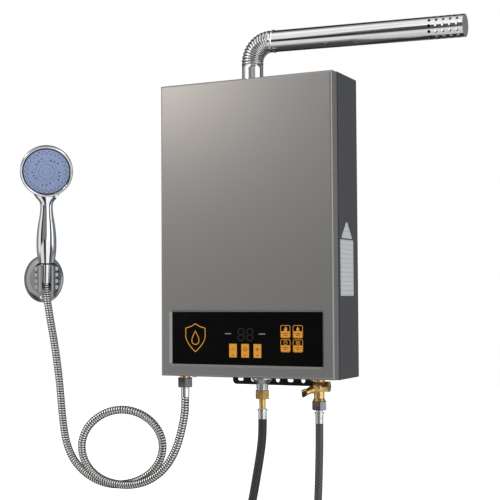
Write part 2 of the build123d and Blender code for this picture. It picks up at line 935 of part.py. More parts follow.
# Water coil: one tube that crosses the shell three times
coil_bend = coil_pitch / 2 - coil_turn_gap
coil_reach = coil_bend + coil_turn
coil_wire = route_wire(
    [
        at(stack_right + coil_stub, pipe_out, coil_levels[0]),
        at(stack_left - coil_reach, pipe_out, coil_levels[0]),
        at(stack_left - coil_reach, pipe_out, coil_levels[1]),
        at(stack_right + coil_reach, pipe_out, coil_levels[1]),
        at(stack_right + coil_reach, pipe_out, coil_levels[2]),
        at(stack_left - coil_stub, pipe_out, coil_levels[2]),
    ],
    coil_bend,
)
with BuildPart() as exchanger_coil:
    sweep(tube_face(coil_wire, pipe_r, pipe_bore), path=coil_wire)
exchanger_coil.part.label = "exchanger_coil"
export_step(exchanger_coil.part, "parts/exchanger_coil.step")

# Fins: separate plates on the coil's three passes
fin_depth = stack_depth - 2 * sheet - 2 * seat_gap
fin_height = (coil_passes - 1) * coil_pitch + 2 * fin_margin
with BuildPart() as exchanger_fins:
    for fin in range(fin_count):
        fin_x = stack_x + (fin - (fin_count - 1) / 2) * fin_pitch
        with BuildSketch(Plane.YZ.offset(fin_x - fin_thick / 2)):
            with Locations((-stack_mid, coil_levels[1])):
                Rectangle(fin_depth, fin_height)
            with Locations(*[(-pipe_out, level) for level in coil_levels]):
                Circle(pipe_r + tube_gap, mode=Mode.SUBTRACT)
        extrude(amount=fin_thick)
exchanger_fins.part.label = "exchanger_fins"
export_step(exchanger_fins.part, "parts/exchanger_fins.step")

# Brackets that carry the exchanger off the back of the case
with BuildPart() as exchanger_brackets:
    with BuildSketch(Plane.XZ.offset(inner_back)):
        with Locations((stack_x, exchanger_z + exchanger_height / 2)):
            with GridLocations(stack_width - 2 * bracket_inset, exchanger_height - 2 * bracket_inset, 2, 2):
                Rectangle(bracket_width, bracket_height)
    extrude(amount=stack_back - inner_back)
exchanger_brackets.part.label = "exchanger_brackets"
export_step(exchanger_brackets.part, "parts/exchanger_brackets.step")

# Burner box: floor and four walls under the exchanger
bar_places = [stack_x + (bar - (bar_count - 1) / 2) * bar_pitch for bar in range(bar_count)]
electrode_places = [stack_x + step * electrode_pitch for step in (-1, 0, 1)]
electrode_z = exchanger_z - electrode_drop
nozzle_z = manifold_z + manifold_size / 2
duct_x = blower_x + blower_r - duct_width / 2
with BuildPart() as burner_box:
    with BuildSketch(Plane.XY.offset(burner_z)):
        with Locations((stack_x, -stack_mid)):
            Rectangle(stack_width, stack_depth)
    extrude(amount=burner_height)
    with BuildSketch(Plane.XY.offset(burner_z + sheet)):
        with Locations((stack_x, -stack_mid)):
            Rectangle(stack_width - 2 * sheet, stack_depth - 2 * sheet)
    extrude(amount=burner_height - sheet, mode=Mode.SUBTRACT)
    with BuildSketch(Plane.XY.offset(burner_z)):
        with Locations((duct_x, -stack_mid)):
            Rectangle(duct_width - 2 * blower_wall, blower_depth - 2 * blower_wall)
    extrude(amount=sheet, mode=Mode.SUBTRACT)
    with BuildSketch(Plane.XZ.offset(stack_front - sheet)):
        with Locations(*[(place, nozzle_z) for place in bar_places]):
            Circle(nozzle_r + seat_gap)
        with Locations(*[(place, electrode_z) for place in electrode_places]):
            Circle(electrode_r + seat_gap)
    extrude(amount=sheet, mode=Mode.SUBTRACT)
burner_box.part.label = "burner_box"
export_step(burner_box.part, "parts/burner_box.step")

# Burner bars: slotted strips that bridge the air opening in the floor
with BuildPart() as burner_bars:
    with BuildSketch(Plane.XY.offset(burner_z + sheet)):
        with Locations(*[(place, -stack_mid) for place in bar_places]):
            Rectangle(bar_width, bar_depth)
    extrude(amount=bar_height)
    with BuildSketch(Plane.XY.offset(burner_z + sheet + bar_wall)):
        with Locations(*[(place, -stack_mid) for place in bar_places]):
            Rectangle(bar_width - 2 * bar_wall, bar_depth - 2 * bar_wall)
    extrude(amount=bar_height - bar_wall, mode=Mode.SUBTRACT)
    with BuildSketch(Plane.XZ.offset(stack_mid + bar_depth / 2)):
        with Locations(*[(place, nozzle_z) for place in bar_places]):
            Circle(bar_throat_r)
    extrude(amount=-bar_wall, mode=Mode.SUBTRACT)
burner_bars.part.label = "burner_bars"
export_step(burner_bars.part, "parts/burner_bars.step")

# Gas manifold on the front of the burner box, one nozzle for each bar
with BuildPart() as gas_manifold:
    with BuildSketch(Plane.XZ.offset(stack_front)):
        with Locations((stack_x, nozzle_z)):
            Rectangle((bar_count - 1) * bar_pitch + 2 * manifold_size, manifold_size)
    extrude(amount=manifold_size)
    with BuildSketch(Plane.XZ.offset(stack_front)):
        with Locations(*[(place, nozzle_z) for place in bar_places]):
            Circle(nozzle_r)
    extrude(amount=-(sheet + nozzle_reach))
gas_manifold.part.label = "gas_manifold"
export_step(gas_manifold.part, "parts/gas_manifold.step")

# Electrodes: spark pair and flame sensor, through the front of the burner box
with BuildPart() as electrodes:
    with BuildSketch(Plane.XZ.offset(stack_front)):
        with Locations(*[(place, electrode_z) for place in electrode_places]):
            Circle(electrode_r + electrode_flange)
    extrude(amount=electrode_flange)
    with BuildSketch(Plane.XZ.offset(stack_front - sheet)):
        with Locations(*[(place, electrode_z) for place in electrode_places]):
            Circle(electrode_r)
    extrude(amount=sheet + electrode_length)
    with BuildSketch(Plane.XZ.offset(stack_front - sheet)):
        with Locations(*[(place, electrode_z) for place in electrode_places]):
            Circle(electrode_rod_r)
    extrude(amount=-electrode_reach)
electrodes.part.label = "electrodes"
export_step(electrodes.part, "parts/electrodes.step")

# Gas valve block on the inlet, with two solenoids at its front
with BuildPart() as gas_valve:
    with BuildSketch(Plane.XY.offset(stub_top)):
        with Locations((gas_x, -pipe_out)):
            Rectangle(valve_width, valve_depth)
    extrude(amount=valve_height)
    with BuildSketch(Plane.XZ.offset(pipe_out + valve_depth / 2)):
        with Locations((gas_x, stub_top + valve_height / 2)):
            with GridLocations(0, solenoid_pitch, 1, 2):
                Circle(solenoid_r)
    extrude(amount=solenoid_length)
gas_valve.part.label = "gas_valve"
export_step(gas_valve.part, "parts/gas_valve.step")

# Gas riser from the valve to the manifold
riser_out = stack_front + manifold_size / 2
riser_z = valve_top + riser_step
riser_wire = route_wire(
    [
        at(gas_x, pipe_out, valve_top),
        at(gas_x, pipe_out, riser_z),
        at(gas_x, riser_out, riser_z),
        at(gas_x, riser_out, manifold_z),
    ],
    riser_bend,
)
with BuildPart() as gas_riser:
    sweep(tube_face(riser_wire, riser_r, riser_bore), path=riser_wire)
gas_riser.part.label = "gas_riser"
export_step(gas_riser.part, "parts/gas_riser.step")

# Blower housing: a drum with its outlet duct under the burner floor
blower_z = burner_z - blower_drop
blower_back = stack_mid - blower_depth / 2
blower_front = stack_mid + blower_depth / 2
duct_mid_z = (blower_z + burner_z) / 2
with BuildPart() as blower_housing:
    with BuildSketch(Plane.XZ.offset(blower_back)):
        with Locations((blower_x, blower_z)):
            Circle(blower_r)
        with Locations((duct_x, duct_mid_z)):
            Rectangle(duct_width, blower_drop)
    extrude(amount=blower_depth)
    with BuildSketch(Plane.XZ.offset(blower_back + blower_wall)):
        with Locations((blower_x, blower_z)):
            Circle(blower_r - blower_wall)
        with Locations((duct_x, duct_mid_z)):
            Rectangle(duct_width - 2 * blower_wall, blower_drop)
    extrude(amount=blower_depth - 2 * blower_wall, mode=Mode.SUBTRACT)
    with BuildSketch(Plane.XZ.offset(blower_front - blower_wall)):
        with Locations((blower_x, blower_z)):
            Circle(blower_inlet_r)
    extrude(amount=blower_wall, mode=Mode.SUBTRACT)
    with BuildSketch(Plane.XZ.offset(blower_back)):
        with Locations((blower_x, blower_z)):
            Circle(shaft_r + shaft_fit)
    extrude(amount=blower_wall, mode=Mode.SUBTRACT)
blower_housing.part.label = "blower_housing"
export_step(blower_housing.part, "parts/blower_housing.step")

# Blower impeller with its shaft
plate_back = blower_back + blower_wall + impeller_gap
ring_front = blower_front - blower_wall - impeller_gap
with BuildPart() as blower_impeller:
    with BuildSketch(Plane.XZ.offset(plate_back)):
        with Locations((blower_x, blower_z)):
            Circle(impeller_r)
    extrude(amount=impeller_plate)
    with BuildSketch(Plane.XZ.offset(plate_back)):
        with Locations((blower_x, blower_z)):
            Circle(impeller_hub_r)
    extrude(amount=(ring_front - plate_back) / 2)
    with BuildSketch(Plane.XZ.offset(plate_back)):
        with Locations((blower_x, blower_z)):
            with PolarLocations(impeller_r - blade_height / 2, blade_count):
                Rectangle(blade_height, blade_thick)
    extrude(amount=ring_front - plate_back)
    with BuildSketch(Plane.XZ.offset(ring_front - impeller_plate)):
        with Locations((blower_x, blower_z)):
            Circle(impeller_r)
            Circle(impeller_r - blade_height, mode=Mode.SUBTRACT)
    extrude(amount=impeller_plate)
    with BuildSketch(Plane.XZ.offset(blower_back - shaft_in_motor)):
        with Locations((blower_x, blower_z)):
            Circle(shaft_r)
    extrude(amount=shaft_in_motor + blower_wall + impeller_gap)
blower_impeller.part.label = "blower_impeller"
export_step(blower_impeller.part, "parts/blower_impeller.step")

# Blower motor behind the drum
with BuildPart() as blower_motor:
    with BuildSketch(Plane.XZ.offset(blower_back - motor_length)):
        with Locations((blower_x, blower_z)):
            Circle(motor_r)
    extrude(amount=motor_length)
    with BuildSketch(Plane.XZ.offset(blower_back - shaft_in_motor - sheet)):
        with Locations((blower_x, blower_z)):
            Circle(shaft_r + shaft_fit)
    extrude(amount=shaft_in_motor + sheet, mode=Mode.SUBTRACT)
blower_motor.part.label = "blower_motor"
export_step(blower_motor.part, "parts/blower_motor.step")

# Flow sensor body with a bearing bar at each end of its bore
lower_spider_z = stub_top + spider_inset
upper_spider_z = sensor_top - spider_inset
with BuildPart() as flow_sensor:
    with BuildSketch(Plane.XY.offset(stub_top)):
        with Locations((cold_x, -pipe_out)):
            Circle(sensor_r)
            Circle(sensor_bore, mode=Mode.SUBTRACT)
    extrude(amount=sensor_height)
    with BuildSketch(Plane.XY.offset(lower_spider_z)):
        with Locations((cold_x, -pipe_out)):
            Rectangle(2 * sensor_bore + spider_width, spider_width)
            Circle(rotor_shaft_r + shaft_fit, mode=Mode.SUBTRACT)
    extrude(amount=spider_height)
    with BuildSketch(Plane.XY.offset(upper_spider_z - spider_height)):
        with Locations((cold_x, -pipe_out)):
            Rectangle(2 * sensor_bore + spider_width, spider_width)
            Circle(rotor_shaft_r + shaft_fit, mode=Mode.SUBTRACT)
    extrude(amount=spider_height)
flow_sensor.part.label = "flow_sensor"
export_step(flow_sensor.part, "parts/flow_sensor.step")

# Flow rotor: a small turbine between the bearing bars
hub_bottom = lower_spider_z + spider_height + rotor_end_gap
hub_top = upper_spider_z - spider_height - rotor_end_gap
rotor_r = sensor_bore - rotor_tip_gap
with BuildPart() as flow_rotor:
    with BuildSketch(Plane.XY.offset(lower_spider_z)):
        with Locations((cold_x, -pipe_out)):
            Circle(rotor_shaft_r)
    extrude(amount=upper_spider_z - lower_spider_z)
    with BuildSketch(Plane.XY.offset(hub_bottom)):
        with Locations((cold_x, -pipe_out)):
            Circle(rotor_hub_r)
            with PolarLocations(rotor_r / 2, vane_count):
                Rectangle(rotor_r, vane_thick)
    extrude(amount=hub_top - hub_bottom)
flow_rotor.part.label = "flow_rotor"
export_step(flow_rotor.part, "parts/flow_rotor.step")

# Cold riser from the flow sensor to the coil
cold_wire = route_wire(
    [
        at(cold_x, pipe_out, sensor_top),
        at(cold_x, pipe_out, coil_levels[0]),
        at(stack_right + coil_stub, pipe_out, coil_levels[0]),
    ],
    cold_bend,
)
with BuildPart() as cold_riser:
    sweep(tube_face(cold_wire, pipe_r, pipe_bore), path=cold_wire)
cold_riser.part.label = "cold_riser"
export_step(cold_riser.part, "parts/cold_riser.step")

# Hot pipe from the coil down to the outlet
hot_wire = route_wire(
    [
        at(stack_left - coil_stub, pipe_out, coil_levels[2]),
        at(hot_x, pipe_out, coil_levels[2]),
        at(hot_x, pipe_out, stub_top),
    ],
    hot_bend,
)
with BuildPart() as hot_pipe:
    sweep(tube_face(hot_wire, pipe_r, pipe_bore), path=hot_wire)
hot_pipe.part.label = "hot_pipe"
export_step(hot_pipe.part, "parts/hot_pipe.step")

# Ignition module on the back wall, right
with BuildPart() as ignition_module:
    with BuildSketch(Plane.XZ.offset(inner_back)):
        with Locations((igniter_box_x, case_bottom + box_rise + igniter_box_height / 2)):
            RectangleRounded(igniter_box_width, igniter_box_height, box_corner_radius)
    extrude(amount=igniter_box_depth)
ignition_module.part.label = "ignition_module"
export_step(ignition_module.part, "parts/ignition_module.step")

# Power supply on the back wall, left
with BuildPart() as power_supply:
    with BuildSketch(Plane.XZ.offset(inner_back)):
        with Locations((supply_box_x, case_bottom + box_rise + supply_box_height / 2)):
            RectangleRounded(supply_box_width, supply_box_height, box_corner_radius)
    extrude(amount=supply_box_depth)
power_supply.part.label = "power_supply"
export_step(power_supply.part, "parts/power_supply.step")


def turned(axis_x, profile):
    """A piece turned about a vertical axis, from its half outline of radius and height."""
    with BuildPart(mode=Mode.PRIVATE) as piece:
        with BuildSketch(Plane.XZ.offset(pipe_out)):
            with BuildLine():
                Polyline(*[(axis_x + radius, height) for radius, height in profile], close=True)
            make_face()
        revolve(axis=Axis(at(axis_x, pipe_out, 0), (0, 0, 1)))
    return piece.part


def union_nut(axis_x, top, flats, height, lip_bore):
    """A hexagon union nut, open at the top for the thread, with a lip under it."""
    with BuildPart(mode=Mode.PRIVATE) as nut:
        with BuildSketch(Plane.XY.offset(top - height)):
            with Locations((axis_x, -pipe_out)):
                RegularPolygon(flats / 2, 6, major_radius=False)
                Circle(lip_bore, mode=Mode.SUBTRACT)
        extrude(amount=height)
        with BuildSketch(Plane.XY.offset(top - height + nut_lip)):
            with Locations((axis_x, -pipe_out)):
                Circle(thread_r + thread_gap)
        extrude(amount=height - nut_lip, mode=Mode.SUBTRACT)
        outer_edges = nut.edges().filter_by(GeomType.LINE).group_by(Axis.Z)
        chamfer(outer_edges[0] + outer_edges[-1], nut_chamfer)
    return nut.part


# Hot outlet: brass stub through the floor, with lock ring and thread
hot_nut_top = case_bottom - hot_nut_drop
hot_nut_bottom = hot_nut_top - hot_nut_height
hot_thread_end = hot_nut_bottom + nut_lip
lock_bottom = case_bottom - lock_ring_height
with BuildPart() as hot_outlet:
    add(
        turned(
            hot_x,
            [
                (pipe_bore, stub_top),
                (stub_r, stub_top),
                (stub_r, case_bottom),
                (lock_ring_r, case_bottom),
                (lock_ring_r, lock_bottom),
                (thread_r, lock_bottom),
                (thread_r, hot_thread_end),
                (pipe_bore, hot_thread_end),
            ],
        )
    )
hot_outlet.part.label = "hot_outlet"
export_step(hot_outlet.part, "parts/hot_outlet.step")

# Union nut of the shower hose
with BuildPart() as hot_nut:
    add(union_nut(hot_x, hot_nut_top, hot_nut_flats, hot_nut_height, pipe_bore))
hot_nut.part.label = "hot_nut"
export_step(hot_nut.part, "parts/hot_nut.step")

# Sleeve that closes the shower hose at the heater
sleeve_bottom = hot_nut_bottom - sleeve_length
with BuildPart() as hose_sleeve:
    add(
        turned(
            hot_x,
            [
                (shower_hose_bore, hot_nut_bottom),
                (sleeve_r, hot_nut_bottom),
                (sleeve_r, sleeve_bottom),
                (shower_hose_bore, sleeve_bottom),
            ],
        )
    )
hose_sleeve.part.label = "hose_sleeve"
export_step(hose_sleeve.part, "parts/hose_sleeve.step")

# Gas inlet: cast fitting with a flared foot against the floor
gas_nut_top = case_bottom - gas_nut_drop
gas_nut_bottom = gas_nut_top - supply_nut_height
gas_flare_bottom = case_bottom - gas_flare_height
gas_neck_bottom = case_bottom - gas_neck_drop
with BuildPart() as gas_inlet:
    add(
        turned(
            gas_x,
            [
                (pipe_bore, stub_top),
                (stub_r, stub_top),
                (stub_r, case_bottom),
                (gas_flare_r, case_bottom),
                (gas_flare_r, gas_flare_bottom),
                (gas_neck_r, gas_flare_bottom - gas_taper_height),
                (gas_neck_r, gas_neck_bottom),
                (thread_r, gas_neck_bottom),
                (thread_r, gas_nut_bottom + nut_lip),
                (pipe_bore, gas_nut_bottom + nut_lip),
            ],
        )
    )
gas_inlet.part.label = "gas_inlet"
export_step(gas_inlet.part, "parts/gas_inlet.step")

# Brass union nut of the gas hose
with BuildPart() as gas_nut:
    add(union_nut(gas_x, gas_nut_top, supply_nut_flats, supply_nut_height, tail_bore))
gas_nut.part.label = "gas_nut"
export_step(gas_nut.part, "parts/gas_nut.step")

# Brass tail under the gas nut
tail_bottom = gas_nut_bottom - tail_length
with BuildPart() as gas_tail:
    add(
        turned(
            gas_x,
            [
                (tail_bore, gas_nut_bottom),
                (tail_r, gas_nut_bottom),
                (tail_r, tail_bottom),
                (tail_bore, tail_bottom),
            ],
        )
    )
gas_tail.part.label = "gas_tail"
export_step(gas_tail.part, "parts/gas_tail.step")

# Crimped ferrule of the gas hose
gas_hose_top = tail_bottom - ferrule_length
with BuildPart() as gas_ferrule:
    add(
        turned(
            gas_x,
            [
                (tail_bore, tail_bottom),
                (ferrule_r + ferrule_rim, tail_bottom),
                (ferrule_r + ferrule_rim, tail_bottom - ferrule_rim_height),
                (ferrule_r, tail_bottom - ferrule_rim_height),
                (ferrule_r, gas_hose_top),
                (tail_bore, gas_hose_top),
            ],
        )
    )
gas_ferrule.part.label = "gas_ferrule"
export_step(gas_ferrule.part, "parts/gas_ferrule.step")

# Cold inlet: brass body with a plug on the right and a drain boss at the front left
bulge_z = case_bottom - cold_bulge_drop
cold_nut_top = case_bottom - cold_nut_drop
cold_nut_bottom = cold_nut_top - supply_nut_height
cold_flare_top = case_bottom - cold_flare_drop
drain_dir = Vector(
    cos(radians(drain_angle)) * cos(radians(drain_fall)),
    sin(radians(drain_angle)) * cos(radians(drain_fall)),
    -sin(radians(drain_fall)),
)
drain_plane = Plane(
    origin=at(cold_x, pipe_out, bulge_z),
    x_dir=(drain_dir.Y, -drain_dir.X, 0),
    z_dir=drain_dir,
)
drain_stem_back = drain_boss_reach - drain_stem_length
with BuildPart() as cold_inlet:
    add(
        turned(
            cold_x,
            [
                (0, stub_top),
                (stub_r, stub_top),
                (stub_r, case_bottom),
                (lock_ring_r, case_bottom),
                (lock_ring_r, lock_bottom),
                (cold_barrel_r, lock_bottom),
                (cold_barrel_r, cold_flare_top),
                (cold_flare_r, cold_flare_top - cold_flare_height),
                (thread_r, cold_flare_top - cold_flare_height),
                (thread_r, cold_nut_bottom + nut_lip),
                (0, cold_nut_bottom + nut_lip),
            ],
        )
    )
    with Locations(at(cold_x, pipe_out, bulge_z)):
        Sphere(cold_bulge_r)
    with BuildSketch(Plane.YZ.offset(cold_x)):
        with Locations((-pipe_out, bulge_z)):
            RegularPolygon(cold_plug_r, 6, major_radius=False)
    extrude(amount=cold_plug_reach)
    with BuildSketch(drain_plane):
        Circle(drain_boss_r)
    extrude(amount=drain_boss_reach)
    with BuildSketch(drain_plane.offset(drain_stem_back - sheet)):
        Circle(drain_stem_r + drain_fit)
    extrude(amount=drain_stem_length + sheet, mode=Mode.SUBTRACT)
    with BuildSketch(Plane.XY.offset(cold_nut_bottom + nut_lip)):
        with Locations((cold_x, -pipe_out)):
            Circle(pipe_bore)
    extrude(amount=stub_top - cold_nut_bottom - nut_lip, mode=Mode.SUBTRACT)
cold_inlet.part.label = "cold_inlet"
export_step(cold_inlet.part, "parts/cold_inlet.step")

# Drain cock: stem in the boss, round knob and wing
knob_back = drain_boss_reach + seat_gap
knob_front = knob_back + drain_knob_length
with BuildPart() as drain_knob:
    with BuildSketch(drain_plane.offset(drain_stem_back)):
        Circle(drain_stem_r)
    extrude(amount=knob_back - drain_stem_back)
    with BuildSketch(drain_plane.offset(knob_back)):
        Circle(drain_knob_r)
    extrude(amount=drain_knob_length)
    with BuildSketch(drain_plane.offset(knob_front)):
        RectangleRounded(wing_span, wing_thick, wing_corner_radius, rotation=wing_tilt)
    extrude(amount=wing_height)
drain_knob.part.label = "drain_knob"
export_step(drain_knob.part, "parts/drain_knob.step")

# Steel union nut of the cold hose
with BuildPart() as cold_nut:
    add(union_nut(cold_x, cold_nut_top, supply_nut_flats, supply_nut_height, tail_bore))
cold_nut.part.label = "cold_nut"
export_step(cold_nut.part, "parts/cold_nut.step")

# Neck and crimped ferrule of the cold hose
cold_ferrule_top = cold_nut_bottom - cold_tail_length
cold_hose_top = cold_ferrule_top - cold_ferrule_length
with BuildPart() as cold_ferrule:
    add(
        turned(
            cold_x,
            [
                (tail_bore, cold_nut_bottom),
                (tail_r, cold_nut_bottom),
                (tail_r, cold_ferrule_top),
                (cold_ferrule_r + ferrule_rim, cold_ferrule_top),
                (cold_ferrule_r + ferrule_rim, cold_ferrule_top - ferrule_rim_height),
                (cold_ferrule_r, cold_ferrule_top - ferrule_rim_height),
                (cold_ferrule_r, cold_hose_top),
                (tail_bore, cold_hose_top),
            ],
        )
    )
cold_ferrule.part.label = "cold_ferrule"
export_step(cold_ferrule.part, "parts/cold_ferrule.step")

# Gas hose, a plain rubber tube
gas_points = [at(gas_x, pipe_out, gas_hose_top)] + gas_hose_route
gas_radii = soft_radii(gas_points)
gas_hose_wire = route_wire(gas_points, gas_radii)
with BuildPart() as gas_hose:
    sweep(tube_face(gas_hose_wire, supply_hose_r, supply_hose_bore), path=gas_hose_wire)
gas_hose.part.label = "gas_hose"
export_step(gas_hose.part, "parts/gas_hose.step")
report_cord("gas_hose", gas_hose_wire, gas_radii, gas_hose.part, supply_hose_r, supply_hose_bore)

# Cold hose, a plain tube under its braid
cold_points = [at(cold_x, pipe_out, cold_hose_top)] + cold_hose_route
cold_radii = soft_radii(cold_points)
cold_hose_wire = route_wire(cold_points, cold_radii)
with BuildPart() as cold_hose:
    sweep(tube_face(cold_hose_wire, cold_hose_r, supply_hose_bore), path=cold_hose_wire)
cold_hose.part.label = "cold_hose"
export_step(cold_hose.part, "parts/cold_hose.step")
report_cord("cold_hose", cold_hose_wire, cold_radii, cold_hose.part, cold_hose_r, supply_hose_bore)


def hose_end(end_point, end_ferrule_r):
    """Ferrule, tail and threaded union nut at the supply end of a hose."""
    axis_x, _, top = end_point
    ferrule_bottom = top - ferrule_length
    nut_top = ferrule_bottom - end_tail_length
    nut_bottom = nut_top - supply_nut_height
    with BuildPart(mode=Mode.PRIVATE) as end:
        add(
            turned(
                axis_x,
                [
                    (tail_bore, top),
                    (end_ferrule_r, top),
                    (end_ferrule_r, ferrule_bottom),
                    (tail_r, ferrule_bottom),
                    (tail_r, nut_top),
                    (tail_bore, nut_top),
                ],
            )
        )
        with BuildSketch(Plane.XY.offset(nut_bottom)):
            with Locations((axis_x, -pipe_out)):
                RegularPolygon(supply_nut_flats / 2, 6, major_radius=False)
                Circle(tail_bore, mode=Mode.SUBTRACT)
        extrude(amount=supply_nut_height)
        with BuildSketch(Plane.XY.offset(nut_bottom)):
            with Locations((axis_x, -pipe_out)):
                Circle(thread_r)
        extrude(amount=supply_nut_height - nut_lip, mode=Mode.SUBTRACT)
    return end.part


# Supply end of the gas hose
with BuildPart() as gas_hose_end:
    add(hose_end(gas_hose_route[-1], ferrule_r))
gas_hose_end.part.label = "gas_hose_end"
export_step(gas_hose_end.part, "parts/gas_hose_end.step")

# Supply end of the cold hose
with BuildPart() as cold_hose_end:
    add(hose_end(cold_hose_route[-1], cold_ferrule_r))
cold_hose_end.part.label = "cold_hose_end"
export_step(cold_hose_end.part, "parts/cold_hose_end.step")

# Handset frame: z runs up the handle, -y looks out of the spray face
lean = radians(handset_lean)
swing = radians(handset_turn)
handle_dir = (sin(lean) * sin(swing), -sin(lean) * cos(swing), cos(lean))
handset_plane = Plane(
    origin=at(handset_x, handset_out, handset_z),
    x_dir=(cos(swing), sin(swing), 0),
    z_dir=handle_dir,
)
cone_top = -ring_height
cone_bottom = cone_top - cone_length
holder_top = cone_top - holder_drop
holder_bottom = holder_top - holder_length
holder_middle = handset_plane.from_local_coords(Vector(0, 0, (holder_top + holder_bottom) / 2))

# Shower bracket: a domed round plate on the wall, with an arm to the holder
arm_run = Vector(holder_middle.X - plate_x, holder_middle.Y, 0)
arm_dir = arm_run.normalized()
arm_plane = Plane(origin=(plate_x, 0, holder_middle.Z), x_dir=(-arm_dir.Y, arm_dir.X, 0), z_dir=arm_dir)
arm_end = arm_run.length - holder_r - lug_reach
with BuildPart() as bracket_plate:
    with BuildSketch(Plane.XY.offset(plate_z)):
        with BuildLine():
            Polyline(
                (plate_x, -plate_crown),
                (plate_x, 0),
                (plate_x + plate_r, 0),
                (plate_x + plate_r, -plate_edge),
            )
            Spline(
                (plate_x + plate_r, -plate_edge),
                (plate_x + plate_crown_r, -plate_crown),
                tangents=((-plate_crown, -plate_crown), (-1, 0)),
            )
            Line((plate_x + plate_crown_r, -plate_crown), (plate_x, -plate_crown))
        make_face()
    revolve(axis=Axis((plate_x, 0, plate_z), (0, 1, 0)))
    with BuildSketch(arm_plane):
        RectangleRounded(arm_width, arm_height, arm_corner_radius)
    extrude(amount=arm_end)
    split(bisect_by=Plane.XZ, keep=Keep.TOP)
    with BuildSketch(Plane.XZ):
        with Locations((plate_x, plate_z)):
            with GridLocations(0, 2 * plate_screw_offset, 1, 2):
                Circle(plate_screw_r)
    extrude(amount=plate_crown, mode=Mode.SUBTRACT)
bracket_plate.part.label = "bracket_plate"
export_step(bracket_plate.part, "parts/bracket_plate.step")

# Holder: a barrel with a tapered seat and a slot for the hose
with BuildPart() as bracket_holder:
    with BuildSketch(handset_plane.offset(holder_bottom)):
        Circle(holder_r)
    extrude(amount=holder_length)
    with BuildSketch(arm_plane.offset(arm_end)):
        RectangleRounded(arm_width, arm_height, arm_corner_radius)
    extrude(amount=holder_r + lug_reach)
    for side in (-1, 1):
        for tooth in range(tooth_count):
            tooth_z = holder_top - holder_length / 2 + (tooth - (tooth_count - 1) / 2) * tooth_pitch
            tooth_plane = Plane(
                origin=handset_plane.from_local_coords(Vector(side * holder_r, -tooth_length / 2, tooth_z)),
                x_dir=handset_plane.x_dir,
                z_dir=handset_plane.y_dir,
            )
            with BuildSketch(tooth_plane):
                Circle(tooth_r)
            extrude(amount=tooth_length)
    with BuildSketch(handset_plane.offset(cone_bottom)):
        Circle(cone_bottom_r + cone_seat_gap)
    with BuildSketch(handset_plane.offset(cone_top)):
        Circle(cone_top_r + cone_seat_gap)
    loft(mode=Mode.SUBTRACT)
    with BuildSketch(handset_plane.offset(cone_bottom)):
        Circle(cone_bottom_r + cone_seat_gap)
    extrude(amount=holder_bottom - cone_bottom, mode=Mode.SUBTRACT)
    with BuildSketch(handset_plane.offset(holder_bottom)):
        with Locations((0, -holder_r)):
            Rectangle(holder_slot, 2 * holder_r)
    extrude(amount=holder_length, mode=Mode.SUBTRACT)
bracket_holder.part.label = "bracket_holder"
export_step(bracket_holder.part, "parts/bracket_holder.step")

# Hose cone: tapered nut that joins hose and handset and rests in the holder
spigot_end = cone_top - spigot_length
with BuildPart() as hose_cone:
    with BuildSketch(handset_plane.offset(cone_bottom)):
        Circle(cone_bottom_r)
    with BuildSketch(handset_plane.offset(cone_top)):
        Circle(cone_top_r)
    loft()
    with BuildSketch(handset_plane.offset(cone_bottom)):
        Circle(shower_hose_bore)
    extrude(amount=cone_length, mode=Mode.SUBTRACT)
    with BuildSketch(handset_plane.offset(spigot_end - seat_gap)):
        Circle(spigot_r + spigot_fit)
    extrude(amount=spigot_length + seat_gap, mode=Mode.SUBTRACT)
hose_cone.part.label = "hose_cone"
export_step(hose_cone.part, "parts/hose_cone.step")

# Black ring between cone and handle
with BuildPart() as handset_ring:
    with BuildSketch(handset_plane.offset(cone_top)):
        Circle(ring_r)
        Circle(spigot_r + seat_gap, mode=Mode.SUBTRACT)
    extrude(amount=ring_height)
handset_ring.part.label = "handset_ring"
export_step(handset_ring.part, "parts/handset_ring.step")

# Handset body: swelling handle, neck and domed head, hollow for the water
tilt = radians(head_tilt)
head_centre = handset_plane.from_local_coords(Vector(0, -head_forward, head_height))
face_dir = handset_plane.y_dir * -cos(tilt) + handset_plane.z_dir * -sin(tilt)
head_plane = Plane(origin=head_centre, x_dir=handset_plane.x_dir, z_dir=face_dir)
collar_outer_r = face_r + rim_fit + rim_wall
rim_back = -rim_height - rim_fit
dome_side_plane = Plane(origin=head_centre, x_dir=head_plane.x_dir, z_dir=head_plane.y_dir * -1)
handle_sections = (
    (0, 0, handle_end_r, handle_end_r),
    (handle_swell_height, 0, handle_swell_r, handle_swell_r),
    (handle_upper_height, 0, handle_upper_r, handle_upper_r),
    (neck_height, 0, neck_r, neck_r),
)
neck_sections = (
    (neck_height, 0, neck_r, neck_r),
    (throat_height, 0, throat_half_width, throat_half_depth),
    (flare_height, 0, flare_half_width, flare_half_depth),
    (shoulder_height, shoulder_forward, shoulder_half_width, shoulder_half_depth),
    (spine_height, spine_forward, spine_half_width, spine_half_depth),
    (spine_top_height, spine_top_forward, spine_half_width, spine_top_half_depth),
)
